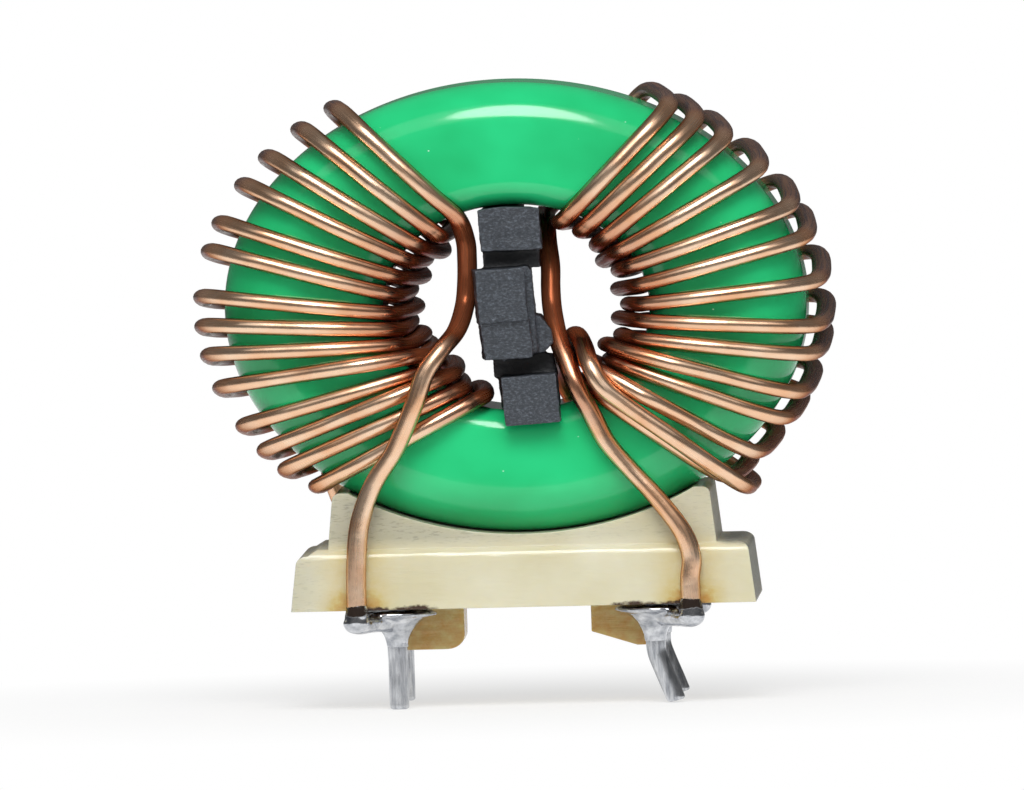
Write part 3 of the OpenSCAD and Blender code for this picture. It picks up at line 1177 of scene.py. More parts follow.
@dataclass
class Coil:
    """One coil: the wire's way from pin to pin, and the swept wire itself.

    Its points are given from the ring's centre, in millimetres.
    """

    name: str
    node: str
    shape: RingShape
    base: BaseShape
    wire: Wire = Wire()
    # Where shade is painted on the wire
    painted_shade: PaintedShade = PaintedShade()
    # Each point of a bend over the rim: its angle, and the share of the way to the angle of
    # the rim's middle
    outer_bends: tuple[tuple[float, float], ...] = ((60, 0.0), (30, 0.08), (0, 0.4))
    outer_step: float = 30
    # The angles of the points of a bend into the hole
    inner_bends: tuple[float, ...] = (90, 45)
    inner_step: float = 45
    # How much nearer a bend lies where it has turned all the way to the middle
    pull: float = 0.2
    # How far the turns stand off the hole's wall halfway through, one by one, and where
    standoff: tuple[float, float] = (0.95, 0.55)
    loose: Span = (136.0, 205.0)

    def __post_init__(self) -> None:
        """Works out the centre lines that the wire keeps to.

        A bend has few points, so its radius is greater by what the lines between them cut off.
        """
        s, w = self.shape, self.wire
        self.face_y = s.thickness / 2 + w.radius + w.gap
        self.over_y = self.face_y + w.diameter + w.gap
        self.wall_y = self.base.half_depth + w.radius + w.gap
        outer_half = math.radians(self.outer_step / 2)
        inner_half = math.radians(self.inner_step / 2)
        self.outer_bend = (s.outer_round + w.radius + w.gap) / math.cos(outer_half)
        self.inner_bend = (s.inner_round + w.radius + w.gap) / math.cos(inner_half)
        self.bend_start = s.radius - s.outer_round
        self.loop_r = self.bend_start + self.outer_bend
        self.lip_end = s.hole + s.inner_round
        self.end_x = self.base.pitch_x / 2 + self.base.wire_side
        self.end_z = self.base.foot_height - self.base.solder_gap - self.base.wire_end
        # The board plane's height
        self.z = -s.centre_z

    def on_run(self, run: Run, r: float, y: float) -> Vector:
        """Finds the point of a run at a given radius.

        Args:
            run: the wire's way over the face.
            r: the radius.
            y: the point's depth.

        Returns:
            The point.
        """
        near = self.shape.hole - self.wire.radius - self.wire.gap - run.ride
        share = (self.loop_r - r) / (self.loop_r - near)
        return polar(run.outer, self.loop_r, y).lerp(polar(run.inner, near, y), share)

    def over_lip(self, run: Run, side: Side) -> list[Vector]:
        """Draws the bend over the edge of the hole.

        Args:
            run: the wire's way over the face.
            side: the face.

        Returns:
            The points, from inside the hole to the face.
        """
        points = []
        bend = self.inner_bend + run.ride
        for a in self.inner_bends:
            turn = math.radians(a)
            y = self.shape.thickness / 2 - self.shape.inner_round + bend * math.cos(turn)
            r = self.lip_end - bend * math.sin(turn)
            points.append(self.on_run(run, r, side.value * y))
        return points

    def over_face(self, run: Run, side: Side, bow: float) -> list[Vector]:
        """Draws the slight arch over a face.

        Args:
            run: the wire's way over the face.
            side: the face.
            bow: the arch's height.

        Returns:
            The points, from the hole outwards.
        """
        middle = (self.lip_end + self.bend_start) / 2
        # Each point's radius, and its shares of the arch's height and of the ride
        arch = ((self.lip_end, 0.55, 1), (middle, 1, 0.5), (self.bend_start, 0.4, 0))
        return [
            self.on_run(run, r, side.value * (self.face_y + rise * bow + share * run.ride))
            for r, rise, share in arch
        ]

    def over_edge(
        self, run: Run, middle: float, side: Side, slack: float, lift: float
    ) -> list[Vector]:
        """Draws the bend round the edge of the rim.

        Args:
            run: the wire's way over the face.
            middle: the angle at which it passes the rim's middle, in degrees.
            side: the face.
            slack: how far it stands off the rim.
            lift: how far it stands off the face.

        Returns:
            The points from the face outwards, which turn towards the middle as they go.
        """
        points = []
        for a, share in self.outer_bends:
            turn = math.radians(a)
            bend = self.outer_bend + slack - self.pull * share
            y = self.shape.thickness / 2 - self.shape.outer_round
            y += (self.outer_bend + lift) * math.sin(turn)
            point = self.on_run(run, self.bend_start + bend * math.cos(turn), side.value * y)
            swing = -math.radians(share * (middle - run.outer))
            points.append(Matrix.Rotation(swing, 3, "Y") @ point)
        return points

    def over_rim(self, front: Run, back: Run, slack: float, lift: float = 0) -> list[Vector]:
        """Draws the loop across the rim, from a run on the front to one on the back.

        Args:
            front: the run on the front.
            back: the run on the back.
            slack: how far the loop stands off the rim.
            lift: how far its ends stand off the faces.

        Returns:
            The loop's points.
        """
        middle = (front.outer + back.outer) / 2
        points = self.over_edge(front, middle, Side.FRONT, slack, lift)
        points.append(polar(middle, self.loop_r + slack, 0))
        return points + self.over_edge(back, middle, Side.BACK, slack, lift)[::-1]

    def through(self, back: Run, front: Run, number: int) -> list[Vector]:
        """Finds where a loose turn stands off the hole's wall, halfway through.

        Args:
            back: the run on the back that the turn comes from.
            front: the run on the front that it goes to.
            number: the turn's number.

        Returns:
            One point, or none where the turn is tight or lies on others.
        """
        angle = (back.inner + front.inner) / 2
        if front.ride or back.ride or not self.loose[0] < angle < self.loose[1]:
            return []
        near = self.shape.hole - self.wire.radius - self.wire.gap
        return [polar(angle, near - self.standoff[number % 2], 0)]

    def outward(self, run: Run, bow: float) -> list[Vector]:
        """Returns the way out of the hole and over the front."""
        return self.over_lip(run, Side.FRONT) + self.over_face(run, Side.FRONT, bow)

    def inward(self, run: Run, bow: float) -> list[Vector]:
        """Returns the way over the back into the hole."""
        return (self.over_lip(run, Side.BACK) + self.over_face(run, Side.BACK, bow))[::-1]

    def route(self) -> list[Vector]:
        """Returns the whole wire's points."""
        raise NotImplementedError

    def build(self, material: Material) -> Object:
        """Sweeps the wire along its route and dresses it.

        Args:
            material: the wire's finish.

        Returns:
            The wire as a plain mesh.
        """
        route = self.route()
        up = Vector((0, 0, self.shape.centre_z))
        data = bpy.data.meshes.new(self.name)
        edges = [(i, i + 1) for i in range(len(route) - 1)]
        data.from_pydata([(p + up) * MM for p in route], edges, [])
        piece = bpy.data.objects.new(self.name, data)
        bpy.context.scene.collection.objects.link(piece)
        sweep = piece.modifiers.new("sweep", "NODES")
        sweep.node_group = wire_tree()
        sizes = {
            "Radius": self.wire.radius * MM,
            "Step": self.wire.ring_step * MM,
            "Sides": self.wire.sides,
            "Finish": material,
        }
        for item in sweep.node_group.interface.items_tree:
            if item.name in sizes:
                sweep[item.identifier] = sizes[item.name]
        settle(piece)
        centre = piece.data.attributes["centre"].data
        places = [Vector(value.vector) / MM - up for value in centre]
        # The painted shade, dark and grey, is written to the wire's corners for its finish
        for name, share in (("painted_shade", self.painted_shade.deep_shade), ("smoke", self.painted_shade.rim_shade)):
            mark = piece.data.attributes.new(name, "FLOAT", "POINT")
            mark.data.foreach_set("value", [share(place) for place in places])
        finish_piece(piece, material, "copper_wire", self.node)
        return piece


def wire_tree() -> NodeTree:
    """Makes the tree that sweeps a round wire along a line of edges, the first time.

    Returns:
        The tree, which both coils share.
    """
    known = bpy.data.node_groups.get("wire_sweep")
    if known:
        return known
    tree = bpy.data.node_groups.new("wire_sweep", "GeometryNodeTree")
    for name, way, kind in (
        ("Geometry", "INPUT", "NodeSocketGeometry"),
        ("Radius", "INPUT", "NodeSocketFloat"),
        ("Step", "INPUT", "NodeSocketFloat"),
        ("Sides", "INPUT", "NodeSocketInt"),
        ("Finish", "INPUT", "NodeSocketMaterial"),
        ("Geometry", "OUTPUT", "NodeSocketGeometry"),
    ):
        tree.interface.new_socket(name, in_out=way, socket_type=kind)
    given = add_node(tree, "NodeGroupInput")
    line = add_node(tree, "GeometryNodeMeshToCurve", links={"Mesh": given})
    smooth = add_node(
        tree, "GeometryNodeCurveSplineType", spline_type="CATMULL_ROM", links={"Curve": line}
    )
    even = add_node(
        tree, "GeometryNodeResampleCurve", mode="LENGTH",
        links={"Curve": smooth, "Length": given.outputs["Step"]},
    )
    # The centre line's place and length, and the way out from it, are kept for the finish
    middle = add_node(
        tree, "GeometryNodeStoreNamedAttribute", data_type="FLOAT_VECTOR",
        values={"Name": "centre"},
        links={"Geometry": even, "Value": add_node(tree, "GeometryNodeInputPosition")},
    )
    far = add_node(
        tree, "GeometryNodeStoreNamedAttribute", data_type="FLOAT", values={"Name": "along"},
        links={
            "Geometry": middle,
            "Value": add_node(tree, "GeometryNodeSplineParameter").outputs["Length"],
        },
    )
    ring = add_node(
        tree, "GeometryNodeCurvePrimitiveCircle",
        links={"Resolution": given.outputs["Sides"], "Radius": given.outputs["Radius"]},
    )
    outward = add_node(
        tree, "ShaderNodeVectorMath", operation="NORMALIZE",
        links={0: add_node(tree, "GeometryNodeInputPosition")},
    )
    skin = add_node(
        tree, "GeometryNodeStoreNamedAttribute", data_type="FLOAT_VECTOR",
        values={"Name": "skin"}, links={"Geometry": ring, "Value": outward},
    )
    swept = add_node(
        tree, "GeometryNodeCurveToMesh", values={"Fill Caps": True},
        links={"Curve": far, "Profile Curve": skin},
    )
    smoothed = add_node(tree, "GeometryNodeSetShadeSmooth", links={"Geometry": swept})
    real = add_node(tree, "GeometryNodeRealizeInstances", links={"Geometry": smoothed})
    dressed = add_node(
        tree, "GeometryNodeSetMaterial",
        links={"Geometry": real, "Material": given.outputs["Finish"]},
    )
    add_node(tree, "NodeGroupOutput", links={"Geometry": dressed})
    return tree


@dataclass
class LeftCoil(Coil):
    """The left coil, wound from the top down."""

    turns: Turns = Turns(
        outer=(123, 131, 140, 148, 158, 165, 176, 183, 190, 198, 208, 215, 221, 228),
        inner=(114, 128, 139, 149, 160, 171, 182, 192, 202, 212, 221, 231, 240, 251.5),
        ride=(0, 0, 0, 0, 0, 0, 0, 0, 0, 0.6, 0, 0.7, 0, 0),
        rim_shift=3,
        slack=0.45,
    )
    end_shift: float = 1
    end_slack: float = 0.15

    def front_lead(self) -> list[Vector]:
        """Draws the lead from the front left pin up into the hole.

        Returns:
            Its points; the lower ones are measured from the board plane.
        """
        wall, over = self.wall_y, self.over_y
        return vectors([
            (-self.end_x, -wall, self.end_z + self.z),
            (-self.end_x, -wall, 3.4 + self.z),
            (-self.end_x + 0.05, -wall, 5.9 + self.z),
            (-8.1, -wall, 8.6 + self.z),
            (-7.35, -wall - 0.05, 11.1 + self.z),
            (-6.2, -over - 0.2, -8.95),
            (-5.2, -over - 0.6, -6.15),
            (-4.6, -over - 0.5, -4.15),
            (-3.8, -over, -2.65),
            (-3.0, -6.3, -1.4),
            (-2.6, -4.7, 0.1),
            (-2.45, -4.3, 1.6),
            (-2.4, -4.5, 3.2),
            (-2.45, -4.9, 4.5),
        ])

    def rear_lead(self) -> list[Vector]:
        """Draws the lead from the last turn down to the rear left pin.

        Returns:
            Its points, which are measured from the board plane.
        """
        wall = self.wall_y
        return vectors([
            (-9.95, 6.45, 11.25 + self.z),
            (-9.7, 7.3, 10.1 + self.z),
            (-9.3, wall, 8.6 + self.z),
            (-8.8, wall, 6.8 + self.z),
            (-self.end_x, wall, 5.0 + self.z),
            (-self.end_x, wall, 3.4 + self.z),
            (-self.end_x, wall, self.end_z + self.z),
        ])

    def route(self) -> list[Vector]:
        """Lays the left wire.

        Returns:
            Its points, from its front pin to its rear pin.
        """
        t = self.turns
        front = [Run(*values) for values in zip(t.outer, t.inner, t.ride)]
        back = [
            Run(t.outer[i] + t.rim_shift, t.inner[i + 1] - t.hole_shift, t.ride[i + 1])
            for i in range(len(front) - 1)
        ]
        points = self.front_lead() + self.outward(front[0], t.bow)[1:]
        for i in range(1, len(front)):
            points += self.over_rim(front[i - 1], back[i - 1], t.slack)
            points += self.inward(back[i - 1], t.bow) + self.through(back[i - 1], front[i], i)
            points += self.outward(front[i], t.bow)
        down = t.outer[-1] + self.end_shift
        points += self.over_rim(front[-1], Run(down, down), self.end_slack)[:-1]
        return points + self.rear_lead()


@dataclass
class RightCoil(Coil):
    """The right coil, wound from its foot up, with its first loop on top of the next."""

    turns: Turns = Turns(
        outer=(-47, -48, -40, -30, -23, -13, -6, 5, 16, 24, 35, 45, 52, 58),
        inner=(-50, -56, -46, -36.5, -29, -20, -9, 1, 12, 24, 34, 44, 55, 66, 80),
        ride=(0, 0, 1, 0, 0.7, 0, 0, 0, 0, 0, 0, 0, 0, 0, 0),
        rim_shift=6.5,
        slack=0.25,
    )
    crossing_slack: float = 1.3
    # Painted shade in the hole begins less deep on this coil
    painted_shade: PaintedShade = PaintedShade(hole_depth=(-6.6, -4.4))
    loose: Span = (-34.0, 48.0)

    def rear_lead(self) -> list[Vector]:
        """Draws the lead from the rear right pin through the hole to the front.

        Returns:
            Its points; the lower ones are measured from the board plane.
        """
        wall, over = self.wall_y, self.over_y
        return vectors([
            (self.end_x, wall, self.end_z + self.z),
            (self.end_x, wall, 3.4 + self.z),
            (self.end_x - 0.1, wall, 5.9 + self.z),
            (7.7, wall, 8.2 + self.z),
            (6.2, 7.5, 10.7 + self.z),
            (4.3, 7.3, -9.6),
            (2.9, 7.1, -7.4),
            (2.0, 6.3, -5.6),
            (1.9, 4.4, -4.3),
            (2.3, 1.0, -3.4),
            (2.6, -2.0, -2.4),
            (2.95, -4.3, -1.8),
            (3.35, -6.1, -2.5),
            (3.7, -7.65, -3.7),
            (4.3, -over - 0.4, -5.1),
            (5.4, -over - 0.4, -6.3),
        ])

    def front_lead(self) -> list[Vector]:
        """Draws the lead from the top of the hole down to the front right pin.

        Returns:
            Its points; the lower ones are measured from the board plane.
        """
        wall = self.wall_y
        return vectors([
            (1.45, 1.8, 5.3),
            (1.55, -0.6, 4.1),
            (1.72, -2.4, 2.6),
            (1.72, -3.2, 1.2),
            (1.77, -3.8, 0.0),
            (1.92, -4.7, -1.15),
            (2.15, -5.6, -2.35),
            (2.5, -6.4, -3.5),
            (2.85, -6.95, -4.7),
            (3.25, -7.1, -5.85),
            (3.7, -7.0, -7.0),
            (4.4, -6.9, -8.8),
            (5.5, -6.95, -10.55),
            (6.8, -7.25, 9.9 + self.z),
            (8.05, -wall, 7.7 + self.z),
            (8.5, -wall, 6.0 + self.z),
            (self.end_x, -wall, 4.6 + self.z),
            (self.end_x, -wall, 3.4 + self.z),
            (self.end_x, -wall, self.end_z + self.z),
        ])

    def route(self) -> list[Vector]:
        """Lays the right wire.

        Returns:
            Its points, from its rear pin to its front pin.
        """
        t = self.turns
        lift = self.wire.diameter + self.wire.gap
        front = [Run(*values) for values in zip(t.outer, t.inner, t.ride)]
        back = [
            Run(
                outer + (t.rim_shift if i else 0),
                t.inner[i + 1] - t.hole_shift,
                t.ride[i + 1],
            )
            for i, outer in enumerate(t.outer)
        ]
        points = self.rear_lead()
        points.append(self.on_run(front[0], self.bend_start, -self.face_y - t.bow - lift))
        points += self.over_rim(front[0], back[0], self.crossing_slack, lift)
        for i in range(1, len(front)):
            points += self.inward(back[i - 1], t.bow) + self.through(back[i - 1], front[i], i)
            points += self.outward(front[i], t.bow)
            points += self.over_rim(front[i], back[i], t.slack)
        return points + self.inward(back[-1], t.bow) + self.front_lead()


# ---- Base ---------------------------------------------------------------------------------


@dataclass(frozen=True)
class Stains:
    """Where the base is stained by flux, dark along the flange's lower edge and greyer, with
    painted shade in the dark edge and on end faces, in millimetres and shares.

    Flux has run down the flange beside the wires' ends and over the feet.
    """

    shape: BaseShape
    saddle_half: float
    # How far behind the flange's face, above its foot and beside a wire a run shows
    run_depth: Span = (1.5, 0.3)
    run_rise: float = 2.0
    run_side: Span = (2.3, 0.5)
    run_top: Span = (1.5, -1.0)
    run_faint: float = 0.38
    foot_flux: float = 0.84
    foot_top: Span = (0.1, -0.3)
    # How dark the flange's lower edge is, and how far from the middle of a wire and its pin and
    # from that edge it darkens, with burnt flux and painted shade under the flange
    dark_edge: float = 0.72
    dark_edge_middle: float = 0.2
    dark_edge_side: Span = (3.6, 1.6)
    dark_edge_reach: Span = (0.5, 0.05)
    # The least grey on the saddle, and how much more there is towards its left
    saddle_grey: tuple[float, float] = (0.2, 0.25)
    saddle_reach: Span = (4.0, -6.0)
    saddle_rise: float = 0.5
    # Painted shade as grey on the right end's top and end faces and on the left end face, and
    # how much greyer the left part is
    right_end_shade: float = 0.7
    right_reach: Span = (0.0, 0.3)
    left_grey: float = 0.3
    left_start: float = 0.6
    left_end_shade: float = 0.5
    # How much of a normal points sideways or up where a face counts as an end or a top
    sideways: Span = (0.5, 0.9)
    upwards: Span = (0.6, 0.95)

    def flux(self, point: Vector) -> float:
        """Gives how much flux has stained a point.

        Args:
            point: the point, in millimetres.

        Returns:
            A share from 0 to 1.
        """
        s = self.shape
        low = ramp_up(point.z, s.foot_height + self.run_rise, s.foot_height)
        beside = abs(abs(point.x) - s.pitch_x / 2 - s.wire_side)
        run = ramp_up(abs(point.y), *(s.half_depth - depth for depth in self.run_depth))
        run *= ramp_up(beside, *self.run_side) * mix(self.run_faint, 1.0, low)
        run *= ramp_up(point.z, *(s.flange_top + rise for rise in self.run_top))
        foot = ramp_up(point.z, *(s.foot_height + rise for rise in self.foot_top))
        return max(run, self.foot_flux * foot)

    def char(self, point: Vector) -> float:
        """Gives how dark a point is on the flange's lower edge, from burnt flux and painted
        shade under the flange.

        Args:
            point: the point, in millimetres.

        Returns:
            A share from 0 to 1.
        """
        beside = abs(abs(point.x) - self.shape.pitch_x / 2 - self.dark_edge_middle)
        edge = ramp_up(abs(point.z - self.shape.foot_height), *self.dark_edge_reach)
        return self.dark_edge * ramp_up(beside, *self.dark_edge_side) * edge

    def grey_and_shade(self, point: Vector, normal: Vector) -> float:
        """Gives how grey a point is: on the saddle and towards the left, and as painted shade
        on the right end's top and end faces and on the left end face.

        Args:
            point: the point, in millimetres.
            normal: the way that the face looks there.

        Returns:
            A share from 0 to 1.
        """
        s, half = self.shape, self.saddle_half
        least, more = self.saddle_grey
        saddle = ramp_up(point.z, s.flange_top, s.flange_top + self.saddle_rise)
        saddle *= least + more * ramp_up(point.x, *self.saddle_reach)
        right = self.right_end_shade * ramp_up(point.x - half, *self.right_reach)
        right *= max(ramp_up(normal.x, *self.sideways), ramp_up(normal.z, *self.upwards))
        left = self.left_grey * ramp_up(point.x, self.left_start - half, -s.half_width)
        left_end = self.left_end_shade * ramp_up(-normal.x, *self.sideways)
        return max(saddle, right, left, left_end)


@dataclass
class MouldedBase:
    """The base: a flange with a saddle on it and two feet under it, in one moulding.

    Sizes are in millimetres, and a slope is how far it runs and how far it drops.
    """

    shape: BaseShape
    ring: RingShape
    end_draft: float = 0.3
    end_round: float = 0.6
    left_slope: tuple[float, float] = (1.4, 0.4)
    shoulder_round: float = 0.75
    saddle_half: float = 9.8
    saddle_depth: float = 6.5
    saddle_round: float = 0.4
    foot_inner: float = 3.2
    foot_width: float = 3.3
    foot_depth: float = 2.6
    left_foot_round: float = 0.9
    right_slope: tuple[float, float] = (2.3, 0.95)
    # How far the parts run into each other, and the tools out of them
    overlap: float = 0.3
    beyond: float = 1
    seat_gap: float = 0.05
    edge: float = 0.2
    # The squares that the marks are painted on
    grid: float = 0.5

    def flange_front(self) -> Outline:
        """Draws the flange from the front: leaning ends and a slope at the left.

        Returns:
            The outline.
        """
        s, draft, r = self.shape, self.end_draft, self.end_round
        run, drop = self.left_slope
        half, top = s.half_width, s.flange_top
        outline = [(-half, s.foot_height), (half, s.foot_height)]
        outline += arc(half - draft - r, top - r, r, 0, 90) + [(run - half, top)]
        return outline + arc(draft + r - half, top - drop - r, r, 90, 180)

    def flange_side(self) -> Outline:
        """Draws the flange from the side, with round shoulders along its top.

        Returns:
            The outline.
        """
        s, r = self.shape, self.shoulder_round
        half, top, bottom = s.half_depth, s.flange_top, s.foot_height
        outline = [(-half, bottom), (half, bottom)] + arc(half - r, top - r, r, 0, 90)
        return outline + arc(r - half, top - r, r, 90, 180)

    def saddle_front(self) -> Outline:
        """Draws the saddle from the front, with leaning ends.

        Returns:
            The outline.
        """
        half, top, r = self.saddle_half, self.shape.saddle_top, self.saddle_round
        bottom = self.shape.flange_top - self.overlap
        outline = [(-half, bottom), (half, bottom)]
        outline += arc(half - self.end_draft - r, top - r, r, 0, 90)
        return outline + arc(self.end_draft + r - half, top - r, r, 90, 180)

    def left_foot(self) -> Outline:
        """Draws the left foot from the front, with a round inner edge.

        Returns:
            The outline.
        """
        inner, outer = -self.foot_inner, -self.foot_inner - self.foot_width
        top, r = self.shape.foot_height + self.overlap, self.left_foot_round
        return [(outer, 0)] + arc(inner - r, r, r, -90, 0) + [(inner, top), (outer, top)]

    def right_foot(self) -> Outline:
        """Draws the right foot from the front, with its inner side cut to a slope.

        Returns:
            The outline.
        """
        inner, outer = self.foot_inner, self.foot_inner + self.foot_width
        run, rise = self.right_slope
        top = self.shape.foot_height + self.overlap
        return [(inner + run, 0), (outer, 0), (outer, top), (inner, top), (inner, rise)]

    def build(self) -> Object:
        """Builds and dresses the base.

        Returns:
            The base.
        """
        s = self.shape
        width, depth = s.half_width + self.beyond, s.half_depth + self.beyond
        body = prism("ivory_base", self.flange_front(), -s.half_depth, s.half_depth)
        side = prism("shoulders", self.flange_side(), -width, width)
        side.data.transform(Matrix.Rotation(math.radians(90), 4, "Z"))
        combine(body, side, Operation.KEEP_COMMON)
        for name, outline, half in (
            ("saddle", self.saddle_front(), self.saddle_depth),
            ("foot", self.left_foot(), self.foot_depth),
            ("foot", self.right_foot(), self.foot_depth),
        ):
            combine(body, prism(name, outline, -half, half), Operation.ADD)
        seat_radius = self.ring.radius + self.seat_gap
        seat = arc(0, self.ring.centre_z, seat_radius, 0, 360, steps=240)[:-1]
        combine(body, prism("seat", seat, -depth, depth), Operation.CUT)
        soften(body, self.edge, segments=3, grid=self.grid)
        self.stain(body)
        finish_piece(body, IvoryNylon().build(), "ivory_moulding", "base")
        return body

    def stain(self, body: Object) -> None:
        """Paints the stains, the grey and the painted shade on the base, as attributes that its
        finish reads.

        Args:
            body: the base.
        """
        stains = Stains(self.shape, self.saddle_half)
        normals = [vertex.normal.copy() for vertex in body.data.vertices]
        places = [vertex.co / MM for vertex in body.data.vertices]
        for name, values in (
            ("flux", [stains.flux(place) for place in places]),
            ("char", [stains.char(place) for place in places]),
            ("grey_and_shade", [stains.grey_and_shade(place, normal) for place, normal in zip(places, normals)]),
        ):
            mark = body.data.attributes.new(name, "FLOAT", "POINT")
            mark.data.foreach_set("value", values)


# ---- Separator ----------------------------------------------------------------------------


@dataclass
class Separator:
    """The black moulding that stands in the hole between the coils, in millimetres.

    Its heads are outlined from the front, with x and z from the ring's centre.
    """

    ring: RingShape
    web_width: float = 2.0
    web_depth: float = 10.0
    web_x: float = -0.3
    # The angle by which it leans to the left, and the one by which its middle head is turned
    lean: float = 3.4
    head_turn: float = 5
    pivot_x: float = -0.6
    fit: float = 0.05
    edge: float = 0.16
    voxel: float = 0.09
    # The skin's lumps and pits, as waves to the millimetre and height
    lump: tuple[float, float] = (1.3, 0.04)
    pit: tuple[float, float] = (5.0, 0.03)
    sunk: float = 0.03

    def web(self) -> Object:
        """Builds the plate that the heads stand on, with the piece's name.

        Returns:
            The plate, from one side of the hole to the other.
        """
        reach = self.ring.hole - self.fit
        left, right = self.web_x - self.web_width / 2, self.web_x + self.web_width / 2
        outline = [(left, -reach), (right, -reach), (right, reach), (left, reach)]
        return prism("black_separator", outline, -self.web_depth / 2, self.web_depth / 2)

    def head(
        self, outline: Sequence[tuple[float, float]], front: float, back: float, turn: float
    ) -> Object:
        """Builds one part of the heads.

        Args:
            outline: its outline from the front.
            front: y of its face.
            back: y of its back.
            turn: the angle in degrees by which it is turned about the web's front edge.

        Returns:
            The part.
        """
        made = prism("head", outline, front, back)
        pivot = Vector((self.pivot_x, -self.web_depth / 2, 0)) * MM
        spin = Matrix.Rotation(math.radians(turn), 4, "Z")
        made.data.transform(Matrix.Translation(pivot) @ spin @ Matrix.Translation(-pivot))
        return made

    def build(self) -> Object:
        """Builds and dresses the separator.

        Returns:
            The separator.
        """
        face = -self.ring.thickness / 2
        reach = self.ring.hole - self.fit
        web = -self.web_depth / 2
        upper = [(-1.45, 3.78), (1.68, 3.7), (1.75, 7.2), (-1.4, 7.2)]
        # The middle head is two lumps with a step between them
        middle = [(-2.1, -0.86), (0.4, -0.8), (0.5, 2.5), (0.3, 2.68), (-2.04, 2.66)]
        step = [(-1.98, -3.24), (0.3, -3.3), (0.5, -3.14), (0.48, -0.7), (-2.02, -0.75)]
        plate = [(0.2, -3.2), (0.8, -2.9), (0.92, 2.3), (0.75, 2.72), (0.2, 2.7)]
        tab = [(0.4, -3.1), (1.2, -3.0), (1.75, -2.4), (1.7, -1.5), (1.2, -0.55), (0.4, -0.3)]
        # Blocks deep in the gaps between the heads
        upper_gap = [(-1.4, 2.5), (1.45, 2.5), (1.5, 3.9), (-1.4, 3.9)]
        lower_gap = [(-1.5, -4.5), (1.75, -4.5), (1.6, -3.1), (-1.45, -3.1)]
        lower = [(-1.15, -reach - 0.4), (1.75, -reach - 0.4), (1.72, -4.33), (-1.1, -4.4)]
        piece = self.web()
        for outline, front, back, turn in (
            (upper, face - 0.2, web + 0.2, 0),
            (middle, face - 1.4, web + 0.2, self.head_turn),
            (step, face - 1.12, web + 0.2, self.head_turn),
            (plate, face - 0.5, web + 0.2, self.head_turn),
            (tab, face - 0.1, web + 2.0, 0),
            (upper_gap, face + 0.9, web + 1.2, 0),
            (lower_gap, face + 0.9, web + 1.2, 0),
            (lower, face - 0.2, web + 0.4, 0),
        ):
            combine(piece, self.head(outline, front, back, turn), Operation.ADD)
        lean = Matrix.Rotation(math.radians(-self.lean), 4, "Y")
        piece.data.transform(lean)
        limit = arc(0, 0, reach, 0, 360, steps=160)[:-1]
        depth = face - 3
        combine(piece, prism("limit", limit, depth, -depth), Operation.KEEP_COMMON)
        # The lowest head hooks over the ring's face, so it is added after the cut
        foot = [(-1.15, -reach - 0.95), (1.7, -reach - 0.9), (1.72, -4.33), (-1.1, -4.4)]
        hook = self.head(foot, face - 1.47, face - 0.12, 0)
        hook.data.transform(lean)
        combine(piece, hook, Operation.ADD)
        soften(piece, self.edge, segments=3)
        self.roughen(piece)
        piece.data.transform(Matrix.Translation((0, 0, self.ring.centre_z * MM)))
        finish_piece(piece, BlackMoulding().build(), "black_moulding", "separator")
        return piece

    def roughen(self, piece: Object) -> None:
        """Gives the moulding its pitted, slightly lumpy skin.

        Args:
            piece: the separator, about the ring's centre.
        """
        even = piece.modifiers.new("even", "REMESH")
        even.mode = "VOXEL"
        even.voxel_size = self.voxel
        piece.data.transform(Matrix.Scale(1 / MM, 4))
        settle(piece)

        def sink(point: Vector, normal: Vector) -> Vector:
            """Sinks a point into the rough skin.

            Args:
                point: the point, in millimetres.
                normal: the way out of the skin.

            Returns:
                The sunk point.
            """
            skin = sum(
                noise.noise(point * waves) * height for waves, height in (self.lump, self.pit)
            )
            return point + normal * (skin - self.sunk)

        move_points(piece, sink)
        piece.data.transform(Matrix.Scale(MM, 4))
        shade_smooth(piece)


# ---- Pins and solder ----------------------------------------------------------------------


